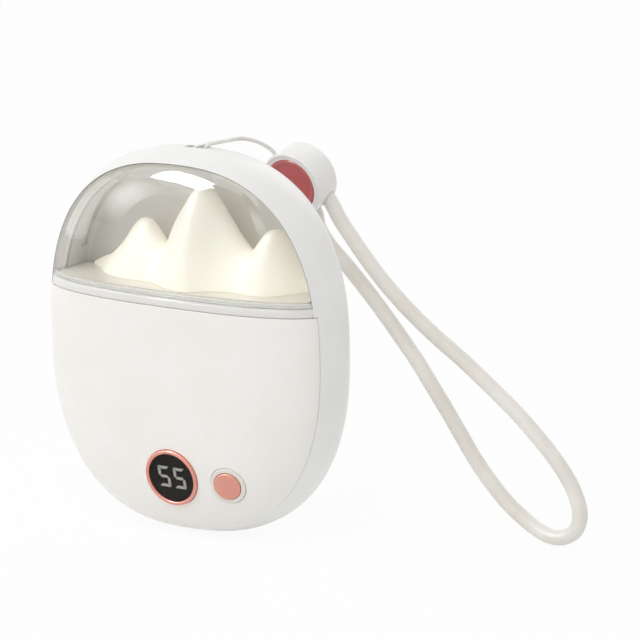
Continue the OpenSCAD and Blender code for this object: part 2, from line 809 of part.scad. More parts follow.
module display_panel() {
    color("black") display_place()
        translate([0, 0, panel_y - panel_t])
            cylinder(h = panel_t, d = display_bore_d - slide_fit, $fn = 72);
}

stroke = 0.58;
digit_gap = 1.06;
digit_slant = 2;

// One bar of a numeral, a slim six-sided stroke along X from its left end
module bar(l) {
    e = stroke / 2;
    linear_extrude(digit_t)
        polygon([[e, 0], [2 * e, e], [l - 2 * e, e], [l - e, 0], [l - 2 * e, -e], [2 * e, -e]]);
}

// A five drawn with straight bars, centred on its place
module five() {
    half = (digit_h - stroke) / 2;
    across = digit_w - stroke;
    translate([-across / 2, 0, 0]) {
        for (level = [-half, 0, half])
            translate([0, level, 0]) bar(across);
        rotate([0, 0, 90]) bar(half);
        translate([across, -half, 0]) rotate([0, 0, 90]) bar(half);
    }
}

module display_digits() {
    color("silver") display_place()
        translate([0, 0, panel_y])
            for (side = [-1, 1])
                translate([side * (digit_w + digit_gap) / 2, 0, 0]) rotate([0, 0, digit_slant])
                    five();
}

module_size = 7.4;
module_t = 3.4;
pin_d = 0.5;
pin_pitch = 2.54;
pin_from_y = front_y(display_x, display_z)
    + (panel_t + module_t * 3 / 4 - panel_y) * cos(display_tilt);

module display_module() {
    color("dimgray") {
        display_place()
            translate([-module_size / 2, -module_size / 2, panel_y - panel_t - module_t])
                cube([module_size, module_size, module_t]);
        for (col = [-1, 0, 1], row = [-1, 1])
            peg(display_x + col * pin_pitch, display_z + row * pin_pitch,
                pin_from_y, board_y, pin_d);
    }
}

button_ring_w = (button_ring_d - button_d) / 2 - slide_fit;
cap_proud = 0.45;
flange_t = 0.7;
flange_gap = 0.2;
stem_l = 3.6;

module button_ring() {
    color("gainsboro") button_place()
        bezel(button_ring_d, button_ring_w, ring_depth, ring_proud / 2);
}

// The cap: a slightly crowned face, a flange behind the ring that keeps it in, and a stem
module button_cap() {
    r = button_d / 2;
    e = button_d / 20;
    flange_z = -ring_depth - flange_gap;
    color("salmon") button_place()
        rotate_extrude($fn = 64)
            polygon([[0, -stem_l], [stem_d / 2, -stem_l], [stem_d / 2, flange_z - flange_t],
                [r + button_ring_w / 2, flange_z - flange_t], [r + button_ring_w / 2, flange_z],
                [r, flange_z], [r, cap_proud - 2 * e], [r - e / 3, cap_proud - e],
                [r - e, cap_proud - e / 3], [r - 2 * e, cap_proud], [0, cap_proud + e / 3]]);
}

// Centre of the stem's tip: the surface point taken inwards along the button's axis
button_inward = [-sin(button_turn) * cos(button_tilt), cos(button_turn) * cos(button_tilt),
    sin(button_tilt)];
stem_tip = [button_x, front_y(button_x, button_z), button_z] + button_inward * stem_l;
switch_gap = 0.1;
switch_size = 5.2;
plunger_d = 3.4;
plunger_show = 0.6;
plunger_l = 1.1;
plunger_y = stem_tip[1] + stem_d / 2 * sin(acos(button_inward[1])) + switch_gap;

module tact_switch() {
    color("dimgray")
    difference() {
        block([stem_tip[0] - switch_size / 2, plunger_y + plunger_show,
                stem_tip[2] - switch_size / 2],
            [switch_size, board_y - plunger_y - plunger_show, switch_size]);
        peg(stem_tip[0], stem_tip[2], plunger_y, plunger_y + plunger_l + button_travel + fit,
            plunger_d + slide_fit);
    }
}

module switch_plunger() {
    color("black")
        peg(stem_tip[0], stem_tip[2], plunger_y, plunger_y + plunger_l, plunger_d);
}

// Inner frame, screws and cells
frame_rear_y = frame_y + frame_t;
rear_cell_y = frame_rear_y + cell_gap;
rear_cell_rise = 0.4;
rear_cell_z = frame_z + frame_wall + cell_gap + rear_cell_rise;
front_cell_z = frame_z + frame_h - front_cell_h - cell_gap;
standoff_d = 4;
board_screw_side = 3.6;
board_screw_x = board_w / 2 - board_screw_side;
board_screw_drop = 2.6;
board_screw_z = board_z + board_h - board_screw_drop;
frame_inset = wall + bulge_inset((frame_y - seam_y0) / (widest_y - seam_y0)) + fit;

module inner_frame() {
    wall_w = rear_cell_w + 2 * cell_gap + 2 * frame_wall;
    color("lightgray")
    difference() {
        union() {
            slab(frame_y, frame_rear_y)
                difference() {
                    intersection() {
                        outline_2d(frame_inset);
                        union() {
                            translate([-wall_w / 2, frame_z]) square([wall_w, frame_h]);
                            for (p = frame_screw_places)
                                translate(p) circle(d = ear_d, $fn = 48);
                            translate([-upper_screw_x, upper_screw_z - ear_d / 2])
                                square([2 * upper_screw_x, ear_d]);
                        }
                    }
                    translate([-rear_cell_w / 4, rear_cell_z + rear_cell_h / 4])
                        square([rear_cell_w / 2, rear_cell_h / 4]);
                }
            slab(frame_rear_y, frame_rear_y + frame_wall_d)
                difference() {
                    translate([-wall_w / 2, rear_cell_z - cell_gap - frame_wall])
                        square([wall_w, rear_cell_h + 2 * cell_gap + 2 * frame_wall]);
                    translate([-wall_w / 2 + frame_wall, rear_cell_z - cell_gap])
                        square([rear_cell_w + 2 * cell_gap, rear_cell_h + 2 * cell_gap]);
                    for (p = frame_screw_places)
                        translate(p) circle(d = boss_d + 2 * cell_gap, $fn = 48);
                }
            for (side = [-1, 1])
                peg(side * board_screw_x, board_screw_z, board_y + board_t + glue_gap, frame_y,
                    standoff_d);
        }
        for (p = frame_screw_places)
            peg(p[0], p[1], frame_y - overrun, frame_rear_y + overrun, screw_hole_d);
        for (side = [-1, 1])
            peg(side * board_screw_x, board_screw_z, board_y + board_t - overrun,
                frame_rear_y - frame_t / 3, screw_pilot_d);
    }
}

// A small pan-head screw along +Y, its head's underside at the given Y
module screw(x, z, y, l) {
    difference() {
        union() {
            peg(x, z, y, y + l, screw_pilot_d - slide_fit);
            peg(x, z, y - screw_head_h, y, screw_head_d);
        }
        for (a = [0, 90])
            translate([x, y - screw_head_h, z]) rotate([0, a, 0])
                cube([screw_head_d / 2, screw_head_h, screw_d / 5], center = true);
    }
}

module frame_screws() {
    color("silver")
    for (p = frame_screw_places)
        screw(p[0], p[1], frame_y - glue_gap, screw_l - fit);
}

module rear_cell() {
    color("lightsteelblue")
    block([-rear_cell_w / 2, rear_cell_y, rear_cell_z], [rear_cell_w, rear_cell_t, rear_cell_h]);
}

module front_cell() {
    color("lightsteelblue")
    block([-front_cell_w / 2, frame_y - cell_gap - front_cell_t, front_cell_z],
        [front_cell_w, front_cell_t, front_cell_h]);
}

protection_w = 26;
protection_d = 3;
protection_t = 0.8;

module protection_board() {
    color("darkgreen")
    block([-protection_w / 2, frame_y - cell_gap - protection_d,
            front_cell_z - cell_gap - protection_t],
        [protection_w, protection_d, protection_t]);
}

// Foam pads: each fills the space to the heater film but for a gap that its curve needs
pad_w = 28;
rear_pad_h = 20;
rear_pad_z = 22;
rear_pad_gap = 1.15;
front_pad_h = 12;
front_pad_gap = 0.75;
front_plate_depth = cover_wall + glue_gap;
front_film_depth = front_plate_depth + plate_t + glue_gap;
rear_plate_depth = rear_wall + glue_gap;
rear_film_depth = rear_plate_depth + plate_t + glue_gap;
rear_pad_y = rear_cell_y + rear_cell_t + glue_gap;
rear_pad_t = widest_y + rear_dome - rear_film_depth - film_t - rear_pad_gap - rear_pad_y;
front_pad_y = frame_y - cell_gap - front_cell_t - glue_gap;
front_pad_t = front_pad_y - seam_y0 + front_dome - front_film_depth - film_t - front_pad_gap;

module rear_pad() {
    color("dimgray")
    block([-pad_w / 2, rear_pad_y, rear_pad_z], [pad_w, rear_pad_t, rear_pad_h]);
}

module front_pad() {
    color("dimgray")
    block([-pad_w / 2, front_pad_y - front_pad_t, front_cell_z + (front_cell_h - front_pad_h) / 2],
        [pad_w, front_pad_t, front_pad_h]);
}

// A dished sheet between two depths under a dome, to be cut to its outline
module front_sheet(near, far) {
    skin([
        for (i = [0:4]) [for (t = turns) front_skin(t, dome_shares[i], near)],
        for (i = [4:-1:0]) [for (t = turns) front_skin(t, dome_shares[i], far)]
    ]);
}

module rear_sheet(near, far) {
    skin([
        for (i = [0:4]) [for (t = turns) rear_skin(t, dome_shares[i], far)],
        for (i = [4:-1:0]) [for (t = turns) rear_skin(t, dome_shares[i], near)]
    ]);
}

// The outline of a heat plate or film as a bar through the body
module plate_window(w, z_low, z_high) {
    block([-w / 2, -body_d, z_low], [w, 2 * body_d, z_high - z_low]);
}

module front_heat_plate() {
    color("silver")
    intersection() {
        front_sheet(front_plate_depth, front_plate_depth + plate_t);
        plate_window(front_plate_w, front_plate_z, plate_top_z);
    }
}

module front_heater_film() {
    color("darkorange")
    intersection() {
        front_sheet(front_film_depth, front_film_depth + film_t);
        plate_window(front_plate_w - 2 * film_margin, front_plate_z + film_margin,
            plate_top_z - film_margin);
    }
}

module rear_heat_plate() {
    color("silver")
    intersection() {
        rear_sheet(rear_plate_depth, rear_plate_depth + plate_t);
        plate_window(rear_plate_w, rear_plate_z, plate_top_z);
    }
}

module rear_heater_film() {
    color("darkorange")
    intersection() {
        rear_sheet(rear_film_depth, rear_film_depth + film_t);
        plate_window(rear_plate_w - 2 * film_margin, rear_plate_z + film_margin,
            plate_top_z - film_margin);
    }
}

thermistor_w = 2;
thermistor_t = 1;
thermistor_x = 17;
thermistor_z = 32;
front_thermistor_y = front_y(thermistor_x + thermistor_w / 2, thermistor_z - thermistor_w / 2,
    front_film_depth + film_t) + glue_gap;
rear_thermistor_y = rear_y(thermistor_x + thermistor_w / 2, thermistor_z - thermistor_w / 2,
    rear_film_depth + film_t) - glue_gap;

module thermistors() {
    corner_x = thermistor_x - thermistor_w / 2;
    color("saddlebrown") {
        block([corner_x, front_thermistor_y, thermistor_z - thermistor_w / 2],
            [thermistor_w, thermistor_t, thermistor_w]);
        block([-corner_x - thermistor_w, rear_thermistor_y - thermistor_t,
                thermistor_z - thermistor_w / 2],
            [thermistor_w, thermistor_t, thermistor_w]);
    }
}

board_inset = tongue_inset + tongue_t + fit;
board_rear_y = board_y + board_t;

module main_board() {
    color("darkgreen")
    difference() {
        slab(board_y, board_rear_y)
            intersection() {
                outline_2d(board_inset);
                translate([-board_w / 2, board_z]) square([board_w, board_h]);
            }
        for (side = [-1, 1])
            peg(side * board_screw_x, board_screw_z, board_y - overrun, board_rear_y + overrun,
                screw_hole_d);
    }
}

board_screw_l = frame_y - board_y - glue_gap;

module board_screws() {
    color("silver")
    for (side = [-1, 1])
        screw(side * board_screw_x, board_screw_z, board_y - glue_gap, board_screw_l);
}

chip_t = 0.9;
controller_size = 5;
controller_x = -7;
controller_z = 14;
charger_size = 4;
charger_x = 6;
charger_z = 14;
inductor_size = 6;
inductor_h = 2.8;
inductor_side = 7;
inductor_x = inductor_side - board_w / 2;
inductor_z = 17.4;
capacitor_w = 2;
capacitor_h = 1.25;
capacitor_t = 1;
capacitor_x = inductor_x;
capacitor_z = 11;
capacitor_pitch = 2.4;
capacitor_count = 3;
connector_w = 6;
connector_h = 4;
connector_t = 3;
connector_x = 7;
connector_z = 21.2;

module controller_chip() {
    color("black")
    block([controller_x - controller_size / 2, board_rear_y, controller_z - controller_size / 2],
        [controller_size, chip_t, controller_size]);
}

module charger_chip() {
    color("black")
    block([charger_x - charger_size / 2, board_rear_y, charger_z - charger_size / 2],
        [charger_size, chip_t, charger_size]);
}

// A square base with a round ferrite core
module power_inductor() {
    color("dimgray") {
        block([inductor_x - inductor_size / 2, board_y - inductor_h / 4,
                inductor_z - inductor_size / 2],
            [inductor_size, inductor_h / 4, inductor_size]);
        peg(inductor_x, inductor_z, board_y - inductor_h, board_y - inductor_h / 4,
            inductor_size - capacitor_t);
    }
}

module capacitors() {
    color("tan")
    for (i = [0:capacitor_count - 1])
        block([capacitor_x - capacitor_w / 2, board_y - capacitor_t,
                capacitor_z + (i - 1) * capacitor_pitch - capacitor_h / 2],
            [capacitor_w, capacitor_t, capacitor_h]);
}

module battery_connector() {
    color("white")
    difference() {
        block([connector_x - connector_w / 2, board_y - connector_t,
                connector_z - connector_h / 2],
            [connector_w, connector_t, connector_h]);
        block([connector_x - connector_w / 2 + board_t / 2, board_y - connector_t + board_t / 2,
                connector_z],
            [connector_w - board_t, connector_t - board_t, connector_h]);
    }
}

usb_wall = 0.3;
usb_tongue_w = 6.6;
usb_tongue_t = 0.7;
usb_tongue_l = 5.4;

module usb_shell() {
    color("silver")
    translate([0, 0, usb_mouth_z])
    difference() {
        usb_slot(usb_w, usb_h - glue_gap, usb_l);
        translate([0, 0, -overrun])
            usb_slot(usb_w - 2 * usb_wall, usb_h - glue_gap - 2 * usb_wall,
                usb_l + overrun - usb_wall);
    }
}

module usb_tongue() {
    color("black")
    block([-usb_tongue_w / 2, usb_y - usb_tongue_t / 2,
            usb_mouth_z + usb_l - usb_wall - usb_tongue_l],
        [usb_tongue_w, usb_tongue_t, usb_tongue_l]);
}

// Leads inside the body: points along each wire
wire_d = 1;
battery_lead_route = [
    [5, -2.6, 28.7], [5.2, -3.8, 28.5], [5.7, -5.1, 27.2], [6, -5.8, 25.2], [6, -5.9, 21.5]
];
heater_lead_route = [
    [-17, -5, 15.5], [-17.3, -5.1, 17.6], [-18, -5.5, 20], [-18.6, -6.3, 22.6],
    [-18.7, -7, 25], [-18.6, -7.5, 27.4]
];
light_lead_route = [
    [20.7, -1.6, 51.5], [22.2, -1.8, 51.3], [23.6, -2.2, 50.4], [24.4, -2.8, 48.4],
    [24.6, -3.6, 45], [24.4, -4.4, 38], [23.4, -4.9, 31.4], [21.8, -5, 27.8],
    [19.8, -5.1, 25.4], [18.3, -5, 23.4]
];

module battery_leads() {
    color("firebrick")
    for (shift = [0, 1])
        tube([for (p = battery_lead_route) p + [shift * 1.3, 0, 0] * wire_d], wire_d, 8,
            [1, 0, 0]);
}

module heater_leads() {
    color("ivory")
    for (shift = [0, 1])
        tube([for (p = heater_lead_route) p - [shift * 1.3, 0, 0] * wire_d], wire_d, 8,
            [1, 0, 0]);
}

module light_leads() {
    color("ivory")
    tube(light_lead_route, wire_d, 8, [0, 1, 0]);
}

module eyelet_bar() {
    color("silver")
        peg(0, eyelet_bar_z, eyelet_y - eyelet_bar_l / 2, eyelet_y + eyelet_bar_l / 2,
            eyelet_bar_d);
}

// The drum: centre of its front face, and how its axis is turned
drum_front = [13.6, 16.6, 71.4];
drum_tilt = 13.4;
drum_turn = -6.1;
drum_edge = 0.8;
drum_floor = 1.2;
drum_cap_t = 1.6;
drum_cap_inset = 0.25;
socket_depth_share = 0.65;
strap_spacing = 5.4;
strap_angle = -57;
cord_angle = 148;
cord_hole_d = 2.6;
strap_fit = 0.3;

// Local +Z comes out of the drum's front face
module drum_place() {
    translate(drum_front) rotate([90 + drum_tilt, 0, drum_turn]) children();
}

// A round hole into the drum's side, its axis at an angle and shifted sideways
module side_hole(angle, shift, d, from_axis) {
    translate([0, 0, -drum_l * socket_depth_share]) rotate([0, 0, angle])
        translate([from_axis, shift, 0]) rotate([0, 90, 0]) cylinder(h = drum_d, d = d, $fn = 40);
}

module drum_body() {
    r = drum_d / 2;
    cap_r = drum_cap_d / 2 + slide_fit;
    e = drum_edge;
    color("white") drum_place()
    difference() {
        rotate_extrude($fn = 96)
            polygon([[0, -drum_l], [r - e, -drum_l], [r - e / 3, -drum_l + e / 3],
                [r, -drum_l + e], [r, -e / 2], [r - e / 2, 0], [cap_r, 0],
                [cap_r, -drum_cap_t - drum_cap_inset], [cap_r - e, -drum_cap_t - drum_cap_inset],
                [cap_r - e, -drum_l + drum_floor], [0, -drum_l + drum_floor]]);
        for (side = [-1, 1])
            side_hole(strap_angle, side * strap_spacing / 2, strap_d + strap_fit, 0);
        side_hole(cord_angle, 0, cord_hole_d, 0);
    }
}

module drum_cap() {
    r = drum_cap_d / 2;
    e = drum_edge / 2;
    color("indianred") drum_place()
        rotate_extrude($fn = 96)
            polygon([[0, -drum_cap_inset - drum_cap_t], [r, -drum_cap_inset - drum_cap_t],
                [r, -drum_cap_inset - e], [r - e / 3, -drum_cap_inset - e / 3],
                [r - e, -drum_cap_inset], [0, -drum_cap_inset + e / 4]]);
}

crimp_l = 3;
crimp_d = 1.9;
crimp_from = 2.1;

module cord_crimp() {
    color("silver") drum_place()
        translate([0, 0, -drum_l * socket_depth_share]) rotate([0, 0, cord_angle])
            translate([crimp_from, 0, 0]) rotate([0, 90, 0])
                cylinder(h = crimp_l, d = crimp_d, $fn = 24);
}

// The cord's route: out of the drum, forward to the bar, round it and back beside itself
lanyard_route = [
    [9.4, 21.2, 75], [8.2, 21.2, 75.7], [7.5, 20.9, 76.5], [7.3, 20.1, 77.5],
    [7.1, 18.8, 78.5], [6.4, 16.7, 79.9], [5.8, 13.7, 81.1], [4.7, 10.7, 81.8],
    [3.5, 6.8, 81.9], [2.5, 4.7, 81.8], [1.4, 3.6, 81.7], [0.3, 2.8, 81.4],
    [-0.7, 2.4, 81], [-1.3, 2.3, 80.4], [-1.5, 2.2, 79.6], [-1.3, 2.2, 78.8],
    [-0.7, 2.2, 78.2], [0, 2.2, 78.1], [0.7, 2.2, 78.2], [1.3, 2.2, 78.8],
    [1.5, 2.2, 79.6], [1.6, 2.3, 80.4], [1.8, 2.6, 81.2], [2.3, 3.2, 81.8],
    [3.3, 4.4, 82.1], [4.3, 6.5, 82.1], [5.5, 10.5, 82], [6.6, 13.5, 81.1],
    [7.2, 16.5, 79.7], [7.9, 18.4, 78.4], [8, 19.4, 77.6], [7.9, 20.2, 76.7],
    [8.5, 20.5, 76], [9.6, 20.5, 75.4]
];

module lanyard_cord() {
    color("gainsboro")
    tube(lanyard_route, cord_d, 8, [0.6, 0, 0.2]);
}

// The strap's route: out of the drum, down to the surface, round the bend and back
strap_route = [
    [18.3, 21, 71], [20.4, 21.4, 68], [22.4, 21.6, 64.5], [25.1, 21.8, 60.8],
    [29.9, 22, 54.9], [34.5, 22.1, 50.1], [39.6, 22.2, 45.6], [45.4, 22.4, 41.1],
    [51.5, 22.5, 36.9], [57.2, 22.7, 32.5], [63, 22.9, 27.8], [67.8, 23, 23.4],
    [72.3, 23.2, 18.6], [75.8, 23.3, 13.9], [77.7, 23.4, 9.6], [78.1, 23.4, 6.5],
    [77, 23.2, 3.5], [74.4, 22.9, 1.9], [71.2, 22.9, 1.8], [68, 23.3, 2.8],
    [65.1, 23.5, 4.4], [61.5, 23.4, 7.1], [57.4, 23.3, 11.3], [53.6, 23.1, 16.1],
    [50.4, 22.9, 21], [47.1, 22.8, 25.9], [43.8, 22.7, 30.6], [40.4, 22.6, 35.4],
    [36.6, 22.5, 40.1], [32.6, 22.5, 44.8], [28.4, 22.5, 49.4], [24, 22.5, 53.9],
    [19.5, 22.6, 58], [16.8, 22.7, 61.6], [16, 22.6, 64.9], [13.9, 22.1, 68.1]
];

module strap_tube() {
    color("gainsboro")
    tube(strap_route, strap_d, 10, [0, 1, 0]);
}

housing();
front_cover();
rear_cover();
window_lens();
lens_gasket();
scene_shell();
scene_floor();
mountains();
night_light_board();
night_light_leds();
display_ring();
display_glass();
display_digits();
display_panel();
display_module();
button_ring();
button_cap();
tact_switch();
switch_plunger();
inner_frame();
frame_screws();
rear_cell();
front_cell();
protection_board();
rear_pad();
front_pad();
rear_heat_plate();
rear_heater_film();
front_heat_plate();
front_heater_film();
thermistors();
main_board();
board_screws();
controller_chip();
charger_chip();
power_inductor();
capacitors();
battery_connector();
usb_shell();
usb_tongue();
battery_leads();
heater_leads();
light_leads();
eyelet_bar();
lanyard_cord();
drum_body();
drum_cap();
cord_crimp();
strap_tube();
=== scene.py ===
# %% [markdown]
# # Rechargeable hand warmer
# A palm-sized white body stands upright. Its upper half is a clear window on a small lit
# mountain scene. Below are a round display and a push button. A wrist strap hangs from a drum,
# and a thin cord ties the drum to a bar in the top of the body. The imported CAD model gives
# every place and size. This lesson gives the looks: it keeps the CAD solids that are hidden
# or already right, and replaces the visible shells with smooth meshes from the same formulas.

# %% The frame
import math

import bmesh
import bpy
import numpy as np
from mathutils import Matrix, Vector


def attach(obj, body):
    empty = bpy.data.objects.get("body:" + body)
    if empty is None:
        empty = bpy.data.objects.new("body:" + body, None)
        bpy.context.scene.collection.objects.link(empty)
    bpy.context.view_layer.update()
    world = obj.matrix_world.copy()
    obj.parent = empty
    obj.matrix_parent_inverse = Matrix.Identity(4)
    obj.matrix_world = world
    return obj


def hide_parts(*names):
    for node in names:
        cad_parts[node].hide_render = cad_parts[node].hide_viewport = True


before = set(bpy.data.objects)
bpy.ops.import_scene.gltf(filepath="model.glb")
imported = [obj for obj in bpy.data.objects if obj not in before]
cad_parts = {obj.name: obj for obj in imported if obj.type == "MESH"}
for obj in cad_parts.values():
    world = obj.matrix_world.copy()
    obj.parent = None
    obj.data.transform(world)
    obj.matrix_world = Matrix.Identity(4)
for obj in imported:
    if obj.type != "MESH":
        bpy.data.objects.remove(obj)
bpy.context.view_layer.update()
MM = 0.001

# %% [markdown]
# ## Camera
# The picture was taken from in front, a little to the right and from above. A camera can be
# moved by eye until the picture looks right, or its place can be worked out from marks whose
# size is known. This one was worked out, from the outline, the seam and the two rings, because
# every other shape is then judged in the right place. `ORIGIN` moves the fit's origin, in the
# middle of the body, to the CAD origin under it.

# %% Camera
AZIMUTH, ELEVATION, ROLL = (math.radians(a) for a in (30.589, 14.75, -0.703))
DISTANCE, SIDE, RISE = 777.5, 26.138, 4.138
ORIGIN = np.array([0, -0.4, 40.5])
LENS = 478.152 * DISTANCE / 100 / 640 * 36

back = np.array([math.sin(AZIMUTH) * math.cos(ELEVATION),
                 -math.cos(AZIMUTH) * math.cos(ELEVATION), math.sin(ELEVATION)])
level_right = np.array([math.cos(AZIMUTH), math.sin(AZIMUTH), 0])
level_up = np.cross(back, level_right)
right = level_right * math.cos(ROLL) + level_up * math.sin(ROLL)
up = -level_right * math.sin(ROLL) + level_up * math.cos(ROLL)
camera_at = SIDE * right + RISE * up + DISTANCE * back + ORIGIN

camera_data = bpy.data.cameras.new("camera")
camera_data.sensor_width = 36
camera_data.lens = LENS
camera_data.clip_start = 0.01
camera_data.clip_end = 20
camera = bpy.data.objects.new("camera", camera_data)
axes = Matrix([right, up, back]).transposed().to_4x4()
camera.matrix_world = Matrix.Translation(Vector(camera_at * MM)) @ axes
bpy.context.scene.collection.objects.link(camera)
bpy.context.scene.camera = camera
bpy.context.scene.view_settings.view_transform = "Standard"
print("camera", [round(v, 4) for v in camera_at * MM], "lens", round(LENS, 1))

# %% [markdown]
# ## Materials
# Nothing on a real product has one flat colour. Moulded plastic wanders a little in shade, its
# gloss is broken by the grain of the mould, and a fine relief softens its highlights. Image
# textures could carry all that, but patterns worked out from Object coordinates need no files
# and stay the same size on every piece, so they were chosen. `paint` builds one such finish:
# two near colours that drift into each other over `blotch` mm, and a grain of `grain` mm that
# drives both the roughness and the bump.

# %% Material tools
def linear(code):
    """An sRGB hex colour as linear RGBA."""
    parts = [int(code[i:i + 2], 16) / 255 for i in (1, 3, 5)]
    return [p / 12.92 if p <= 0.04045 else ((p + 0.055) / 1.055) ** 2.4 for p in parts] + [1]


def node(tree, kind, settings=None, **inputs):
    """Adds a shader node with its settings, and fills or links its inputs by name or number."""
    made = tree.nodes.new("ShaderNode" + kind)
    for key, value in (settings or {}).items():
        setattr(made, key, value)
    for key, value in inputs.items():
        slot = made.inputs[int(key[1:]) if key[0] == "i" and key[1:].isdigit()
                           else key.replace("_", " ")]
        if isinstance(value, bpy.types.NodeSocket):
            tree.links.new(value, slot)
        else:
            slot.default_value = value
    return made


def paint(name, colour, second, rough, grain, bump=0.0, drift=0.04, blotch=None, **sockets):
    """A Principled material: two colours, a roughness and a grain and bump in mm."""
    material = bpy.data.materials.new(name)
    material.use_nodes = True
    tree = material.node_tree
    tree.nodes.clear()
    shader = node(tree, "BsdfPrincipled")
    end = node(tree, "OutputMaterial")
    tree.links.new(shader.outputs[0], end.inputs[0])
    place = node(tree, "TexCoord").outputs["Object"]
    large = node(tree, "TexNoise", Vector=place, Scale=1000 / (blotch or grain * 12),
                 Detail=2.0).outputs[0]
    small = node(tree, "TexNoise", Vector=place, Scale=1000 / grain, Detail=3.0,
                 Roughness=0.6).outputs[0]
    spread = node(tree, "MapRange", Value=large, From_Min=0.3, From_Max=0.7)
    mix = node(tree, "Mix", {"data_type": "RGBA"}, i0=spread.outputs[0], i6=linear(colour),
               i7=linear(second))
    tree.links.new(mix.outputs[2], shader.inputs["Base Color"])
    gloss = node(tree, "MapRange", Value=small, From_Min=0.3, From_Max=0.7,
                 To_Min=max(0.0, rough - drift), To_Max=min(1.0, rough + drift))
    tree.links.new(gloss.outputs[0], shader.inputs["Roughness"])
    if bump:
        raised = node(tree, "Bump", Strength=1.0, Distance=bump * MM, Height=small)
        tree.links.new(raised.outputs[0], shader.inputs["Normal"])
    for key, value in sockets.items():
        shader.inputs[key.replace("_", " ")].default_value = value
    return material


def parts_of(material):
    """The material's node tree, its Principled shader and its object coordinates."""
    tree = material.node_tree
    shader = next(n for n in tree.nodes if n.type == "BSDF_PRINCIPLED")
    place = next(n for n in tree.nodes if n.type == "TEX_COORD").outputs["Object"]
    return tree, shader, place


print("material tools ready")

# %% [markdown]
# ## Mesh tools
# The shells of this object are swept shapes: a row of points that changes a little at each step.
# They could be typed as lists of faces, but it is easier to draw only the rows: the extrude
# operator lays the faces from row to row, and the fill operator closes what stays open. (Bridging
# twists where two rows lie almost in one plane.)
# Turned pieces are a half profile, spun. Sharp edges of a moulding are never quite sharp, so
# a small Bevel modifier finishes them, and pockets and holes are cut by a Boolean modifier,
# because that keeps the swept rows simple.

# %% Scene objects from meshes
def piece(name, mesh, material, body="body", replaces=(), soft=True, angle=32):
    """Turns a mesh into a scene object that rides on a body and stands for CAD nodes."""
    thing = bpy.data.objects.new(name, mesh)
    bpy.context.scene.collection.objects.link(thing)
    for one in material if isinstance(material, list) else [material]:
        mesh.materials.append(one)
    if soft:
        mesh.shade_smooth()
        mesh.set_sharp_from_angle(angle=math.radians(angle))
    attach(thing, body)
    if replaces:
        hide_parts(*replaces)
    return thing


# %% Closed meshes
def closed_mesh(form, name, merge=1e-4):
    """Ends a bmesh: doubles merged, open ends filled, normals facing out; gives its mesh."""
    bmesh.ops.remove_doubles(form, verts=form.verts, dist=merge * MM)
    bmesh.ops.dissolve_degenerate(form, edges=form.edges, dist=merge * MM)
    bmesh.ops.holes_fill(form, edges=[e for e in form.edges if e.is_boundary], sides=0)
    bmesh.ops.recalc_face_normals(form, faces=form.faces)
    mesh = bpy.data.meshes.new(name)
    form.to_mesh(mesh)
    form.free()
    return mesh


def row_of(form, points, around):
    """One row of points in mm joined by edges, back to its start where around is true."""
    made = [form.verts.new([c * MM for c in p]) for p in points]
    ends = made[1:] + made[:1] if around else made[1:]
    return made, [form.edges.new(pair) for pair in zip(made, ends)]


def lofted(name, rows, around=True):
    """A closed skin through rows of points in mm: each row is extruded and set on the next."""
    form = bmesh.new()
    row, edges = row_of(form, rows[0], around)
    for points in rows[1:]:
        grown = bmesh.ops.extrude_edge_only(form, edges=edges)["geom"]
        fresh = {v for v in grown if isinstance(v, bmesh.types.BMVert)}
        edges = [e for e in grown if isinstance(e, bmesh.types.BMEdge)
                 and fresh.issuperset(e.verts)]
        row = [next(e.other_vert(v) for e in v.link_edges if e.other_vert(v) in fresh)
               for v in row]
        for vert, spot in zip(row, points):
            vert.co = [c * MM for c in spot]
    return closed_mesh(form, name)


def turned(name, profile, steps=128, place=None):
    """A turned form: a profile of (radius, height) in mm spun about Z, set where place says."""
    form = bmesh.new()
    row_of(form, [(r, 0, z) for r, z in profile], around=False)
    bmesh.ops.spin(form, geom=form.verts[:] + form.edges[:], axis=(0, 0, 1), cent=(0, 0, 0),
                   angle=math.tau, steps=steps, use_merge=True, use_duplicate=False)
    mesh = closed_mesh(form, name)
    if place is not None:
        mesh.transform(place)
    return mesh


# %% Bevels and cuts
def shaped(mesh, bevel=0.0, cutters=(), angle=50, segments=3):
    """The mesh after a bevel of its sharp edges and cuts by other meshes."""
    thing = bpy.data.objects.new("work", mesh)
    bpy.context.scene.collection.objects.link(thing)
    made = [thing]
    if bevel:
        edge = thing.modifiers.new("bevel", "BEVEL")
        edge.width = bevel * MM
        edge.segments = segments
        edge.limit_method = "ANGLE"
        edge.angle_limit = math.radians(angle)
    for cutter in cutters:
        tool = bpy.data.objects.new("tool", cutter)
        bpy.context.scene.collection.objects.link(tool)
        made.append(tool)
        cut = thing.modifiers.new("cut", "BOOLEAN")
        cut.operation = "DIFFERENCE"
        cut.solver = "EXACT"
        cut.object = tool
    bpy.context.view_layer.update()
    view = bpy.context.evaluated_depsgraph_get()
    result = bpy.data.meshes.new_from_object(thing.evaluated_get(view))
    for one in made:
        bpy.data.objects.remove(one)
    return result


def rounded(profile, radii, steps=6):
    """An open profile of (radius, height) whose corners are rounded."""
    out = [profile[0]]
    for a, b, c, r in zip(profile, profile[1:], profile[2:], radii[1:]):
        if not r:
            out.append(b)
            continue
        p, q, s = (np.array(v, float) for v in (a, b, c))
        u, w = (p - q) / np.linalg.norm(p - q), (s - q) / np.linalg.norm(s - q)
        half = math.acos(np.clip(u @ w, -1, 1)) / 2
        back_off = min(r / math.tan(half), 0.49 * np.linalg.norm(p - q),
                       0.49 * np.linalg.norm(s - q))
        for t in np.linspace(0, 1, steps):
            out.append(tuple((1 - t) ** 2 * (q + u * back_off) + 2 * t * (1 - t) * q
                             + t * t * (q + w * back_off)))
    out.append(profile[-1])
    return out


print("mesh tools ready")

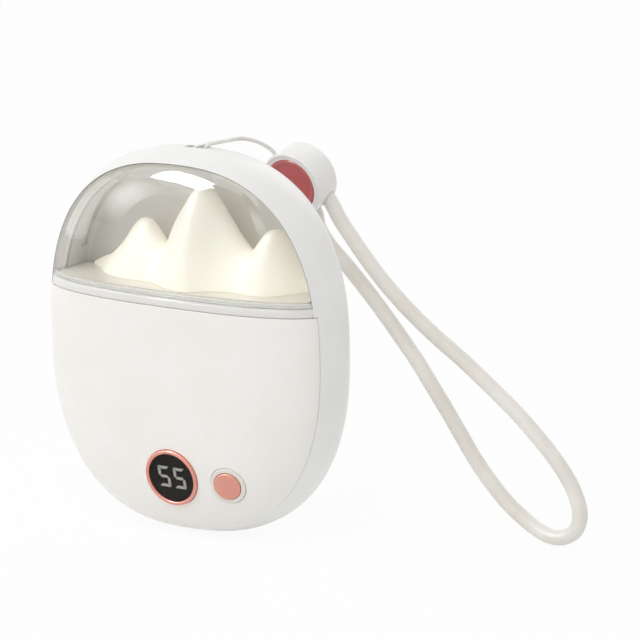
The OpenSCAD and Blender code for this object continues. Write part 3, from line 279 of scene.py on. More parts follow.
# %% [markdown]
# ## Cords
# Two free cords leave the object. The lanyard is one thin braided nylon cord: out of the drum,
# forward to the bar in the top of the body, round it and back into the drum. The strap is a
# soft silicone tube: out of the drum, down to the surface, round a wide bend and back into the
# drum. A rope simulation could lay them, but the picture shows both from end to end, so the
# shape is known, and a round tube on one spline through measured points repeats it. Both
# routes are those of part.scad.

# %% Cord materials
# Braided nylon: dull, slightly fuzzy at its edges. The real braid's strands are 0.1 mm, drawn
# as a 0.25 mm grain so that they show at all.
braided_nylon = paint("braided_nylon", "#F6F5F2", "#E9E7E2", 0.62, 0.25, bump=0.04, drift=0.08,
                      Sheen_Weight=0.3, Sheen_Roughness=0.4)
# Moulded silicone: soft satin, with light that enters and comes out again a little warmer.
moulded_silicone = paint("moulded_silicone", "#EFEDE8", "#E4E1DA", 0.38, 0.35, bump=0.004,
                         blotch=9, IOR=1.43, Subsurface_Weight=0.35, Subsurface_Scale=0.0022)
moulded_silicone.node_tree.nodes["Principled BSDF"].inputs[
    "Subsurface Radius"].default_value = (1.0, 0.85, 0.7)

# %% Cords
lanyard_route = [
    (9.4, 21.2, 75), (8.2, 21.2, 75.7), (7.5, 20.9, 76.5), (7.3, 20.1, 77.5),
    (7.1, 18.8, 78.5), (6.4, 16.7, 79.9), (5.8, 13.7, 81.1), (4.7, 10.7, 81.8),
    (3.5, 6.8, 81.9), (2.5, 4.7, 81.8), (1.4, 3.6, 81.7), (0.3, 2.8, 81.4),
    (-0.7, 2.4, 81), (-1.3, 2.3, 80.4), (-1.5, 2.2, 79.6), (-1.3, 2.2, 78.8),
    (-0.7, 2.2, 78.2), (0, 2.2, 78.1), (0.7, 2.2, 78.2), (1.3, 2.2, 78.8),
    (1.5, 2.2, 79.6), (1.6, 2.3, 80.4), (1.8, 2.6, 81.2), (2.3, 3.2, 81.8),
    (3.3, 4.4, 82.1), (4.3, 6.5, 82.1), (5.5, 10.5, 82), (6.6, 13.5, 81.1),
    (7.2, 16.5, 79.7), (7.9, 18.4, 78.4), (8, 19.4, 77.6), (7.9, 20.2, 76.7),
    (8.5, 20.5, 76), (9.6, 20.5, 75.4)]
strap_route = [
    (18.3, 21, 71), (20.4, 21.4, 68), (22.4, 21.6, 64.5), (25.1, 21.8, 60.8),
    (29.9, 22, 54.9), (34.5, 22.1, 50.1), (39.6, 22.2, 45.6), (45.4, 22.4, 41.1),
    (51.5, 22.5, 36.9), (57.2, 22.7, 32.5), (63, 22.9, 27.8), (67.8, 23, 23.4),
    (72.3, 23.2, 18.6), (75.8, 23.3, 13.9), (77.7, 23.4, 9.6), (78.1, 23.4, 6.5),
    (77, 23.2, 3.5), (74.4, 22.9, 1.9), (71.2, 22.9, 1.8), (68, 23.3, 2.8),
    (65.1, 23.5, 4.4), (61.5, 23.4, 7.1), (57.4, 23.3, 11.3), (53.6, 23.1, 16.1),
    (50.4, 22.9, 21), (47.1, 22.8, 25.9), (43.8, 22.7, 30.6), (40.4, 22.6, 35.4),
    (36.6, 22.5, 40.1), (32.6, 22.5, 44.8), (28.4, 22.5, 49.4), (24, 22.5, 53.9),
    (19.5, 22.6, 58), (16.8, 22.7, 61.6), (16, 22.6, 64.9), (13.9, 22.1, 68.1)]


def cord_curve(name, route, diameter, material, stands_for, steps=8):
    """A round tube on one open spline that passes smoothly through the route's points."""
    curve = bpy.data.curves.new(name, "CURVE")
    curve.dimensions = "3D"
    curve.bevel_depth = diameter / 2 * MM
    curve.bevel_resolution = 8
    curve.resolution_u = steps
    curve.use_fill_caps = True
    line = curve.splines.new("BEZIER")
    line.bezier_points.add(len(route) - 1)
    for i, (point, spot) in enumerate(zip(line.bezier_points, route)):
        point.co = [c * MM for c in spot]
        ahead = np.array(route[min(i + 1, len(route) - 1)], float)
        behind = np.array(route[max(i - 1, 0)], float)
        heading = (ahead - behind) / np.linalg.norm(ahead - behind)
        here = np.array(spot, float)
        for side, other, sign in (("left", behind, -1), ("right", ahead, 1)):
            reach = np.linalg.norm(other - here) / 3
            setattr(point, f"handle_{side}_type", "FREE")
            setattr(point, f"handle_{side}", [c * MM for c in here + sign * heading * reach])
    thing = bpy.data.objects.new(name, curve)
    bpy.context.scene.collection.objects.link(thing)
    curve.materials.append(material)
    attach(thing, "body")
    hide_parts(stands_for)
    return thing


lanyard = cord_curve("lanyard", lanyard_route, 0.8, braided_nylon, "lanyard_cord")
strap = cord_curve("strap", strap_route, 3.2, moulded_silicone, "strap_tube")
print("cords made")

# %% [markdown]
# ## The body's form
# Seen from the front the real body is a rounded egg, flatter at its sides than an ellipse: a
# superellipse, with a slightly different power above and below its widest level. The front
# dome rises from a seam that bows forward at top and bottom, and the rear dome rises from the
# widest line. The form could be pulled from a subdivided cube by hand. Formulas were chosen,
# the same as in part.scad, so that the looks and the solids agree to a hundredth of a mm.

# %% Body formulas
BODY_W, MID, TOP, BOTTOM = 69.4, 40.5, 40.8, 41.2
FRONT_DOME, REAR_DOME, SEAM_Y, WIDEST_Y = 7.9, 11.3, -4.75, 1.35
BULGE, BOW, WALL = 1.7, 1.2, 1.8
TOP_POWER, BOTTOM_POWER = 2.47, 2.4
FRONT_POWER, FRONT_CURL, REAR_POWER, REAR_CURL = 2.83, 0.6, 2.86, 0.35
HALF = BODY_W / 2 - BULGE
BAND_Z, BAND_TOP, BAND_REBATE = 50.4, 52.9, 0.6
RIM_W, GROOVE_W, LEDGE_W, REAR_COVER_W = 0.35, 0.15, 1.65, 62.6
RIM_K = 1 - RIM_W / HALF
LENS_K = RIM_K - GROOVE_W / HALF
LEDGE_K = RIM_K - LEDGE_W / HALF
REAR_K = REAR_COVER_W / BODY_W


def lobe(a, e):
    """A power that keeps the sign, as a superellipse needs."""
    return np.sign(a) * np.abs(a) ** e


def outline(turn, inset=0.0, k=1.0):
    """X and Z, from the widest level, of the outline at turns in degrees."""
    s, c = np.sin(np.radians(turn)), np.cos(np.radians(turn))
    n = np.where(s >= 0, TOP_POWER, BOTTOM_POWER)
    h = np.where(s >= 0, TOP, BOTTOM) - inset
    return k * (BODY_W / 2 - inset) * lobe(c, 2 / n), k * h * lobe(s, 2 / n)


def seam_y(z):
    """Y of the front seam at a height from the widest level: it bows forward at its ends."""
    return SEAM_Y - BOW * (z / TOP) ** 2


def front_rise(k):
    """The front dome's rise, as a share, at a level k between its apex, 0, and its edge, 1."""
    return np.maximum(0, 1 - np.asarray(k, float) ** FRONT_POWER) ** FRONT_CURL


def front_level(rise):
    """The level at which the front dome has a rise: front_rise the other way round."""
    return (1 - rise ** (1 / FRONT_CURL)) ** (1 / FRONT_POWER)


def rear_rise(k):
    """The rear dome's rise at a level."""
    return np.maximum(0, 1 - np.asarray(k, float) ** REAR_POWER) ** REAR_CURL


def rear_level(rise):
    """The level at which the rear dome has a rise."""
    return (1 - rise ** (1 / REAR_CURL)) ** (1 / REAR_POWER)


def level(x, z, inset):
    """How far a place lies from the apex, 0, to the edge, 1, of an inset outline."""
    n = np.where(z >= MID, TOP_POWER, BOTTOM_POWER)
    h = np.where(z >= MID, TOP, BOTTOM) - inset
    return ((np.abs(x) / (BODY_W / 2 - inset)) ** n + (np.abs(z - MID) / h) ** n) ** (1 / n)


def front_y(x, z, depth=0.0):
    """Y of the front dome at x and z, or of a skin at a depth below it."""
    x, z = np.asarray(x, float), np.asarray(z, float)
    return seam_y(z - MID) + (depth - FRONT_DOME) * front_rise(level(x, z, BULGE + depth))


def from_seam(turn, inset, k, y):
    """A row on the outline at a level k, at y from the seam."""
    x, z = outline(turn, inset, k)
    return np.stack([x, seam_y(z) + y, MID + z], -1)


def at_y(turn, inset, k, y):
    """A row on the outline at a level k, in the plane of one y."""
    x, z = outline(turn, inset, k)
    return np.stack([x, np.full_like(x, y), MID + z], -1)


def even_turns(count, low=0.0, high=360.0, inset=0.0):
    """Turns from low to high whose points lie evenly along the outline."""
    fine = np.linspace(low, high, 20001)
    x, z = outline(fine, inset)
    run = np.concatenate([[0], np.cumsum(np.hypot(np.diff(x), np.diff(z)))])
    return np.interp(np.linspace(0, run[-1], count), run, fine)


def star(edge, centre, surface, shares):
    """Rows of points from an edge in X and Z in to a centre, lifted onto a surface."""
    rows = []
    for share in shares:
        x = centre[0] + (edge[:, 0] - centre[0]) * share
        z = centre[1] + (edge[:, 1] - centre[1]) * share
        rows.append(np.stack([x, surface(x, z), z], -1))
    return rows


def cut_outline(inset, k, z_cut, keep, count):
    """The outline's part above or below a height, closed along the cut, evenly spaced."""
    turns = np.linspace(0, 360, 40001)[:-1]
    x, z = outline(turns, inset, k)
    z = z + MID
    inside = z > z_cut if keep == "above" else z < z_cut
    first = np.flatnonzero(inside & ~np.roll(inside, 1))[0]
    order = (np.arange(len(turns)) + first) % len(turns)
    order = order[inside[order]]
    curve = np.stack([x[order], z[order]], -1)
    curve[0, 1] = curve[-1, 1] = z_cut
    run = np.concatenate([[0], np.cumsum(np.linalg.norm(np.diff(curve, axis=0), axis=1))])
    width = np.linalg.norm(curve[0] - curve[-1])
    on_line = max(8, int(count * width / (width + run[-1])))
    at = np.linspace(0, run[-1], count - on_line + 1)
    bend = np.stack([np.interp(at, run, curve[:, 0]), np.interp(at, run, curve[:, 1])], -1)
    flat = np.linspace(curve[-1], curve[0], on_line + 1)[1:-1]
    return np.concatenate([bend, flat])


print("rim", round(RIM_K, 4), "lens", round(LENS_K, 4), "rear cover", round(REAR_K, 4))

# %% [markdown]
# ## Plastics of the body
# The covers of the real one are a warm white satin plastic, the housing a cooler white, and
# its band light grey. One white could serve for all, but then the seams vanish: the slight
# difference between neighbouring mouldings is what tells the eye that they are parts.

# %% Body plastics
# ABS moulded in a polished tool and lightly textured: a soft sheen with a wide highlight. The
# texture's grit is 0.1 mm and is drawn at 0.5 mm, because it is too fine to show.
satin_abs = paint("satin_abs", "#F7F6F3", "#F4F2EE", 0.3, 0.5, bump=0.003, blotch=14,
                  Coat_Weight=0.25, Coat_Roughness=0.2)
# The same ABS in a cooler white, a little duller.
white_abs = paint("white_abs", "#F4F4F3", "#F0F0EE", 0.34, 0.45, bump=0.003, blotch=12,
                  Coat_Weight=0.15, Coat_Roughness=0.25)
# ABS drawn a shade greyer than the housing's, on the band, where it frames the window without a
# hard edge.
grey_abs = paint("grey_abs", "#E9E8E5", "#E3E2DF", 0.32, 0.4, bump=0.003, blotch=10,
                 Coat_Weight=0.2, Coat_Roughness=0.2)

# %% [markdown]
# ## Housing
# The housing is the side wall all the way round, the arch that frames the window, the band
# under the window, and the block that holds the eyelet's bar. It could be one sculpted shell,
# but each of the four is a simple sweep, so each is swept on its own and they are joined.
# The wall is one closed ring of rows. The eyelet's pocket, the charging slot and the flat
# base are then cut from it, as a mould's slides leave them.

# %% Housing wall
REAR_WALL, LIP_W, LIP_T = 1.4, 1.8, 1
turns = even_turns(337)[:-1]


def bulge_inset(s):
    """The inset of the side at a share s of the way from the seam, 0, to the widest line, 1."""
    return BULGE * (1 - math.sin(math.radians(90 * s)))


def side_row(turn, inset, s):
    """A row round the side, which bulges from the seam to the widest line."""
    row = from_seam(turn, inset + bulge_inset(s), 1, 0)
    row[:, 1] = row[:, 1] * (1 - s) + WIDEST_Y * s
    return row


rear_edge_y = WIDEST_Y + REAR_DOME * float(rear_rise(REAR_K))
lip_y = rear_edge_y - REAR_WALL
lip_k = REAR_K - LIP_W / (BODY_W / 2)
inner_lip_rise = (lip_y - LIP_T - WIDEST_Y) / (REAR_DOME - WALL)
inner_lip_k = rear_level(inner_lip_rise)
rear_top = float(rear_rise(REAR_K))
rises = np.linspace(0, rear_top, 17)[1:]
rear_levels = rear_level(rises)

wall_rows = [side_row(turns, 0, s) for s in np.linspace(0, 1, 17)]
wall_rows += [at_y(turns, 0, k, WIDEST_Y + REAR_DOME * v) for k, v in zip(rear_levels, rises)]
wall_rows += [at_y(turns, 0, REAR_K, lip_y), at_y(turns, 0, lip_k, lip_y),
              at_y(turns, 0, lip_k, lip_y - LIP_T),
              at_y(turns, WALL, inner_lip_k, lip_y - LIP_T)]
inner_rises = np.linspace(inner_lip_rise, 0, 9)[1:-1]
wall_rows += [at_y(turns, WALL, rear_level(v), WIDEST_Y + (REAR_DOME - WALL) * v)
              for v in inner_rises]
wall_rows += [side_row(turns, WALL, s) for s in np.linspace(1, 0, 9)]
wall_rows.append(wall_rows[0])


# %% Cutters
def block(low, high, name="block"):
    """A closed box between two corners in mm."""
    form = bmesh.new()
    bmesh.ops.create_cube(form, size=1)
    bmesh.ops.scale(form, vec=[(b - a) * MM for a, b in zip(low, high)], verts=form.verts)
    bmesh.ops.translate(form, vec=[(a + b) / 2 * MM for a, b in zip(low, high)],
                        verts=form.verts)
    return closed_mesh(form, name)


def round_slot(w, h, z_low, z_high, y):
    """A bar along Z with round ends in X, as the charging slot: a box with rounded edges."""
    form = bmesh.new()
    form.from_mesh(block((-w / 2, y - h / 2, z_low), (w / 2, y + h / 2, z_high)))
    upright = [e for e in form.edges if abs(e.verts[0].co.z - e.verts[1].co.z) > MM]
    bmesh.ops.bevel(form, geom=upright, offset=h / 2 * 0.999 * MM, affect="EDGES", segments=11,
                    profile=0.5, material=-1)
    return closed_mesh(form, "slot")


EYELET_W, EYELET_FRONT, EYELET_REAR, EYELET_Z = 5.2, 1.0, 3.8, 77.5
USB_W, USB_H, USB_Y = 9.24, 3.5, -1.6
eyelet_cut = block((-EYELET_W / 2, EYELET_FRONT, EYELET_Z), (EYELET_W / 2, EYELET_REAR, 83))
usb_cut = round_slot(USB_W, USB_H, -3, 5, USB_Y)
floor_cut = block((-40, -40, -5), (40, 40, 0))
# The depth of the lens's rear face, and what lies behind it: the gasket and the ledge.
LENS_REAR, GASKET_T, FIT, LEDGE_T, LENS_COUNT = 2.1, 0.3, 0.15, 1.3, 320
ledge_y = LENS_REAR - FRONT_DOME * float(front_rise(LENS_K)) + GASKET_T + FIT
bore_k = RIM_K + 0.05 / HALF
bore_edge = cut_outline(BULGE, bore_k, BAND_TOP - BAND_REBATE, "above", LENS_COUNT)
lens_bore = lofted("lens_bore", [
    np.stack([bore_edge[:, 0], seam_y(bore_edge[:, 1] - MID) + y, bore_edge[:, 1]], -1)
    for y in (-FRONT_DOME, ledge_y + 0.05)])
wall_mesh = shaped(shaped(lofted("housing_wall", wall_rows), bevel=0.1),
                   cutters=(eyelet_cut, usb_cut, floor_cut, lens_bore))
print("wall", len(wall_mesh.polygons), "faces")

# %% [markdown]
# The arch is the rounded lip that frames the window on the real one. A curve with a bevelled
# section could run along the outline, but its section changes on the way, so it is swept from
# rows too. It starts on the wall's outer skin, a hundredth of a millimetre proud so that the
# two meet without a line, turns over the seam with a soft curve, runs to the rim, drops into
# the groove round the lens and ends in the ledge that the lens rests on.

# %% Arch and band
ARCH_COUNT, PROUD = 181, 0.01


def arch_turns(k, inset=BULGE, z_from=BAND_Z):
    """Turns of the outline's arch over a height, from its right foot to its left one."""
    sine = ((z_from - MID) / (k * (TOP - inset))) ** (TOP_POWER / 2)
    start = math.degrees(math.asin(sine))
    return even_turns(ARCH_COUNT, start, 180 - start, inset)


def bezier_rows(a, b, c, count):
    """The rows between two rows, on a curve that leans towards a third, b."""
    return [(1 - t) ** 2 * a + 2 * t * (1 - t) * b + t * t * c
            for t in np.linspace(0, 1, count)[1:-1]]


def front_row(k):
    """A row of the arch on the front dome, at a level k."""
    return from_seam(arch_turns(k), BULGE, k, -FRONT_DOME * float(front_rise(k)))


def skin_row(s):
    """A row of the arch on the wall's outer skin, a little proud of it."""
    inset = bulge_inset(s) - PROUD
    row = from_seam(arch_turns(1, inset), inset, 1, 0)
    row[:, 1] = row[:, 1] * (1 - s) + WIDEST_Y * s
    return row


rim_rise = float(front_rise(RIM_K))
front_levels = [front_level(v) for v in np.linspace(0.06, rim_rise, 4)]
arch_rows = [skin_row(s) for s in (0.6, 0.45, 0.3, 0.18)]
arch_rows += bezier_rows(arch_rows[-1], from_seam(arch_turns(1), BULGE - PROUD, 1, 0),
                         front_row(front_levels[0]), 9)
arch_rows += [front_row(k) for k in front_levels]
arch_rows += [from_seam(arch_turns(RIM_K), BULGE, RIM_K, ledge_y),
              from_seam(arch_turns(LEDGE_K), BULGE, LEDGE_K, ledge_y),
              from_seam(arch_turns(LEDGE_K), BULGE, LEDGE_K, ledge_y + LEDGE_T),
              from_seam(arch_turns(1, BULGE + 0.45), BULGE + 0.45, 1, ledge_y + LEDGE_T)]
arch_rows.append(arch_rows[0])
arch_mesh = shaped(lofted("arch", arch_rows, around=False), bevel=0.1)


BAND_SET, BAND_REAR, BAND_WALL, BAND_LINE_Z = 0.3, 2.25, 0.8, 51.8
BAND_HALF = HALF - WALL / 2


def band_section(x):
    """The band's section at x: a fine step near its top makes the line under the window."""
    low, high = float(front_y(x, BAND_Z)), float(front_y(x, BAND_TOP))
    line, rebate_z = float(front_y(x, BAND_LINE_Z)), BAND_TOP - BAND_REBATE
    rear = high + BAND_REAR
    return [(x, low + BAND_SET, BAND_Z), (x, line + BAND_SET, BAND_LINE_Z),
            (x, line + 0.42, BAND_LINE_Z + 0.06), (x, high + 0.5, rebate_z),
            (x, rear, rebate_z), (x, rear, BAND_TOP), (x, rear + BAND_WALL, BAND_TOP),
            (x, rear + BAND_WALL, BAND_Z)]


sections = [band_section(x) for x in np.linspace(-BAND_HALF, BAND_HALF, 121)]
band_rows = [[s[i] for s in sections] for i in (*range(8), 0)]
band_mesh = shaped(lofted("band", band_rows, around=False), bevel=0.08)
eyelet_block = shaped(block((-4.5, -0.6, 76.9), (4.5, 5.4, 79.9)), cutters=(eyelet_cut,))


def joined(name, meshes, slots):
    """One mesh from several, each with its own material number."""
    form = bmesh.new()
    for mesh, number in zip(meshes, slots):
        start = len(form.faces)
        form.from_mesh(mesh)
        form.faces.ensure_lookup_table()
        for face in form.faces[start:]:
            face.material_index = number
    made = bpy.data.meshes.new(name)
    form.to_mesh(made)
    form.free()
    return made


housing = piece("housing_shell", joined("housing_shell",
                                        [wall_mesh, arch_mesh, band_mesh, eyelet_block],
                                        [0, 0, 1, 0]),
                [white_abs, grey_abs], replaces=["housing"])
print("housing", len(housing.data.polygons), "faces")

# %% [markdown]
# ## Covers
# The front cover is a domed sheet under the window, cut straight at the band, with two round
# holes for the display's ring and the button's ring. A flat plate could be inflated, but then
# its edge would not meet the seam. So its rows run from the edge in to one centre, close
# together where the dome is steep, once for the outside and once, a wall's thickness deeper,
# for the inside. The rear cover is the same idea on the rear dome.

# %% Front cover
SEAM_STEP, BAND_GAP, COVER_WALL, COVER_COUNT = 0.25, 0.12, 1.6, 420
edge_k = float(front_level(SEAM_STEP / FRONT_DOME))
outer_edge = cut_outline(BULGE, edge_k, BAND_Z - BAND_GAP, "below", COVER_COUNT)
inner_edge = cut_outline(BULGE + COVER_WALL, 0.999, BAND_Z - BAND_GAP, "below", COVER_COUNT)
shares = 1 - (1 - np.linspace(1, 0.02, 60)) ** 1.7
COVER_CENTRE = (0, 26)
cover_rows = star(outer_edge, COVER_CENTRE, front_y, shares)
cover_lining = star(inner_edge, COVER_CENTRE, lambda x, z: front_y(x, z, COVER_WALL),
                    shares[::2])


def placed(x, z, *tilts):
    """A matrix to a place on the front, with local +Z out of the surface."""
    matrix = Matrix.Translation(Vector((x, float(front_y(x, z)), z)) * MM)
    for axis, degrees in tilts:
        matrix = matrix @ Matrix.Rotation(math.radians(degrees), 4, axis)
    return matrix


display_place = placed(0.5, 13.4, ("X", 99.2))
button_place = placed(13.8, 13.3, ("Z", 8.8), ("X", 101.2))


DISPLAY_D, BUTTON_D, RING_GAP = 12.5, 8, 0.11


def drill(diameter, place):
    """A cutter for a round hole through the cover."""
    form = bmesh.new()
    bmesh.ops.create_cone(form, cap_ends=True, segments=96, radius1=diameter / 2 * MM,
                          radius2=diameter / 2 * MM, depth=6.2 * MM, matrix=place)
    return closed_mesh(form, "drill")


cover_mesh = shaped(shaped(lofted("front_cover", [*cover_rows[::-1], *cover_lining]),
                           bevel=0.16),
                    cutters=(drill(DISPLAY_D + 2 * RING_GAP, display_place),
                             drill(BUTTON_D + 2 * RING_GAP, button_place)))
front_cover = piece("front_cover_shell", cover_mesh, satin_abs,
                    replaces=["front_cover"])

# %% Rear cover
cover_k = REAR_K - 0.15 / (BODY_W / 2)
outer_levels = np.concatenate([[0.02, 0.1, 0.2, 0.3, 0.4], np.linspace(0.48, cover_k, 22)])
rear_rows = [at_y(turns, 0, k, WIDEST_Y + REAR_DOME * float(rear_rise(k)))
             for k in outer_levels]
rear_rows.append(at_y(turns, 0, cover_k, lip_y + 0.1))
for k in np.linspace(0.86, 0.02, 18):
    rear_rows.append(at_y(turns, REAR_WALL, k,
                          WIDEST_Y + (REAR_DOME - REAR_WALL) * float(rear_rise(k))))
rear_cover = piece("rear_cover_shell", shaped(lofted("rear_cover", rear_rows), bevel=0.12),
                   white_abs, replaces=["rear_cover"])
print("covers", len(front_cover.data.polygons), len(rear_cover.data.polygons), "faces")

# %% [markdown]
# ## Window and scene
# The window is a clear acrylic dome let in behind the rim, so its face is nearly flush. Clear
# plastic in a closed shell is hard for a path tracer: the light that reaches the scene would
# have to bend through it twice. So shadow and diffuse rays pass straight through, and only the
# camera and mirrors see the real refraction. The lens's edge is ground, not polished, which
# stops rays that would run round inside it.

# %% Clear plastics
def clear(name, tint, rough, grain, ior=1.49):
    """Clear plastic that lets shadow and diffuse rays straight through."""
    material = bpy.data.materials.new(name)
    material.use_nodes = True
    tree = material.node_tree
    tree.nodes.clear()
    place = node(tree, "TexCoord").outputs["Object"]
    small = node(tree, "TexNoise", Vector=place, Scale=1000 / grain, Detail=2.0).outputs[0]
    gloss = node(tree, "MapRange", Value=small, From_Min=0.3, From_Max=0.7,
                 To_Min=rough * 0.5, To_Max=rough * 1.5)
    shader = node(tree, "BsdfPrincipled", Base_Color=linear(tint), IOR=ior,
                  Transmission_Weight=1.0, Roughness=gloss.outputs[0])
    through = node(tree, "BsdfTransparent", Color=linear(tint))
    path = node(tree, "LightPath")
    either = node(tree, "Math", {"operation": "MAXIMUM"}, i0=path.outputs["Is Shadow Ray"],
                  i1=path.outputs["Is Diffuse Ray"])
    mix = node(tree, "MixShader", Fac=either.outputs[0], i1=shader.outputs[0],
               i2=through.outputs[0])
    end = node(tree, "OutputMaterial")
    tree.links.new(mix.outputs[0], end.inputs[0])
    return material


# The ground edge of the acrylic: matt and pale grey, with no mirror image in it.
ground_acrylic = paint("ground_acrylic", "#DEDEDC", "#D6D6D4", 0.6, 0.3)
# Polished moulded acrylic, IOR 1.49: clear and colourless, with sharp bright reflections.
clear_acrylic = clear("clear_acrylic", "#FCFCFB", 0.006, 6)

# %% Window lens
LENS_FOOT, LENS_SET = 52.45, 0.25
lens_edge = cut_outline(BULGE, LENS_K, LENS_FOOT, "above", LENS_COUNT)
lens_shares = 1 - (1 - np.linspace(1, 0.02, 44)) ** 1.7
face = star(lens_edge, (0, 60), lambda x, z: seam_y(z - MID) + LENS_SET
            - FRONT_DOME * front_rise(level(x, z, BULGE)), lens_shares)
behind = [row + [0, LENS_REAR - LENS_SET, 0] for row in face]
lens_mesh = lofted("lens", [*face[::-1], *behind])
places = np.array([v.co for v in lens_mesh.vertices]) / MM
at_rim = level(places[:, 0], places[:, 2], BULGE) > LENS_K - 0.0004
on_edge = at_rim | (places[:, 2] < LENS_FOOT + 0.0005)
for side in lens_mesh.polygons:
    side.material_index = int(all(on_edge[i] for i in side.vertices))
lens = piece("window_lens_dome", lens_mesh, [clear_acrylic, ground_acrylic],
             replaces=["window_lens"])
print("lens", len(lens.data.polygons), "faces")

# %% [markdown]
# Behind the window stands a half-dark shell, an arched wall with a flat rear plate and shallow
# recesses at its sides. On the real one it is a moulded part whose rear wall is a dim half
# mirror. The shade that makes it darker below is painted into its colour: an image could carry
# it, but here the shell's own height, read from Object coordinates, dims its colour towards the
# foot. The wall is swept in two layers, and only the inner one is cut at the sides, which leaves
# the recesses.

# %% Scene shell finish
# Moulded ABS with a clear gloss lacquer: pale grey with a mirror sheen, and a painted shade that
# deepens it towards its foot.
lacquered_abs = paint("lacquered_abs", "#EAE8E4", "#E4E2DD", 0.22, 0.6, bump=0.002, blotch=12,
                      Coat_Weight=0.5, Coat_Roughness=0.06)
tree, shader, place = parts_of(lacquered_abs)
# Painted shade: the colour is dimmed by height, down to 72 % at the foot.
height = node(tree, "SeparateXYZ", Vector=place).outputs[2]
painted_shade_share = node(tree, "MapRange", Value=height, From_Min=0.053, From_Max=0.07,
                  To_Min=0.72, To_Max=1.0)
tint = shader.inputs["Base Color"].links[0].from_socket
painted_shade_tint = node(tree, "VectorMath", {"operation": "MULTIPLY"}, i0=tint, i1=painted_shade_share.outputs[0])
tree.links.new(painted_shade_tint.outputs[0], shader.inputs["Base Color"])

# %% Scene shell
SHELL_LOW, SHELL_BACK = 53.2, 4.7
SHELL_FRONT = SEAM_Y + ledge_y + LEDGE_T + FIT


def shell_row(inset, y, count=161):
    """A row of the arched wall at an inset from the outline, at a depth y."""
    turn = arch_turns(1, inset, SHELL_LOW)
    turn = np.interp(np.linspace(0, 1, count), np.linspace(0, 1, len(turn)), turn)
    return at_y(turn, inset, 1, y)


# Insets from the outline: the wall's outside, the joint of its two layers, its inside.
outer, middle, inner, thick, bend = 3.3, 3.7, 4.1, 0.8, 1.0


def shell_wall(near, far):
    """One layer of the arched wall, between two insets, with its rounded inner corner."""
    rows = [shell_row(near, SHELL_FRONT), shell_row(near, SHELL_BACK - bend)]
    rows += bezier_rows(rows[-1], shell_row(near, SHELL_BACK),
                        shell_row(near + bend, SHELL_BACK), 7)
    rows += [shell_row(near + bend, SHELL_BACK), shell_row(near + bend, SHELL_BACK + thick),
             shell_row(far, SHELL_BACK + thick), shell_row(far, SHELL_FRONT)]
    rows.append(rows[0])
    return lofted("arch_wall", rows, around=False)


plate_edge = cut_outline(inner + bend / 2, 1, SHELL_LOW, "above", 240)
front_plate = star(plate_edge, (0, 62), lambda x, z: np.full_like(x, SHELL_BACK + 0.002),
                   np.linspace(1, 0.05, 8))
rear_plate = [row + [0, thick - 0.004, 0] for row in front_plate]
plate = lofted("rear_plate", [*front_plate[::-1], *rear_plate])
clip_cut = block((-50, 1.6, 57), (50, 3.8, 63.2))
block_cut = block((-4.65, -0.75, 76.75), (4.65, 5.55, 84))
scene_shell = piece("scene_shell_smooth", joined("scene_shell_smooth", [
    shaped(shell_wall(inner, middle), cutters=(clip_cut, block_cut)),
    shaped(shell_wall(middle, outer), cutters=(block_cut,)),
    shaped(plate, cutters=(block_cut,))], [0, 0, 0]),
    lacquered_abs, replaces=["scene_shell"])
print("shell", len(scene_shell.data.polygons), "faces")

# %% [markdown]
# The mountain range is one translucent casting: three soft peaks with two valleys, lit from below
# by hidden lamps. It could be sculpted, but a table of sections from left to right says it
# shortly: place, height, front and rear, as shares of its width, height and depth. A smooth curve
# runs through the table, each section is an arch, one skin runs over all the arches, and the
# smooth operator wears its creases away. The lamps' light in it is painted on as the resin's own
# emission, strongest at the foot and in the two valleys, and faint all over.

# %% Mountain table
mountain_rows = np.array([
    (-0.5, 0.02, 0.24, 0.31), (-0.47, 0.06, 0.15, 0.31), (-0.43, 0.11, 0.04, 0.31),
    (-0.37, 0.18, -0.19, 0.31),
    (-0.3, 0.35, -0.3, 0.31), (-0.26, 0.49, -0.33, 0.31), (-0.23, 0.565, -0.33, 0.31),
    (-0.205, 0.58, -0.33, 0.31), (-0.18, 0.555, -0.33, 0.31), (-0.15, 0.46, -0.34, 0.31),
    (-0.11, 0.34, -0.38, 0.31), (-0.075, 0.45, -0.46, 0.31), (-0.035, 0.65, -0.55, 0.31),
    (0.005, 0.8, -0.6, 0.31), (0.04, 0.93, -0.62, 0.31), (0.068, 0.98, -0.6, 0.31),
    (0.09, 0.975, -0.55, 0.31), (0.115, 0.91, -0.48, 0.31), (0.145, 0.78, -0.4, 0.31),
    (0.182, 0.63, -0.35, 0.31), (0.225, 0.47, -0.32, 0.31), (0.268, 0.38, -0.33, 0.31),
    (0.3, 0.47, -0.35, 0.31), (0.33, 0.57, -0.36, 0.31), (0.355, 0.6, -0.34, 0.31),
    (0.38, 0.585, -0.29, 0.31), (0.415, 0.45, -0.17, 0.31), (0.455, 0.23, 0.02, 0.31),
    (0.49, 0.04, 0.14, 0.3)])
RANGE_W, PEAK_H, RANGE_D, FOOT_Z = 53.94, 21.5, 14.6, 53.2


def curve_through(rows, steps):
    """Points on a smooth curve through the rows of a table."""
    out = []
    for i in range(len(rows) - 1):
        a, b, c, d = (rows[min(max(j, 0), len(rows) - 1)] for j in range(i - 1, i + 3))
        for t in np.linspace(0, 1, steps, endpoint=False):
            out.append((2 * b + (c - a) * t + (2 * a - 5 * b + 4 * c - d) * t ** 2
                        + (3 * b - a - 3 * c + d) * t ** 3) / 2)
    return np.array([*out, rows[-1]])


# %% Mountain range
def softened(mesh, times):
    """The mesh with its creases worn away, its flat foot kept."""
    form = bmesh.new()
    form.from_mesh(mesh)
    above = [v for v in form.verts if v.co.z > (FOOT_Z + 0.1) * MM]
    for _ in range(times):
        bmesh.ops.smooth_vert(form, verts=above, factor=0.5, use_axis_x=True,
                              use_axis_y=True, use_axis_z=True)
    form.to_mesh(mesh)
    form.free()
    return mesh


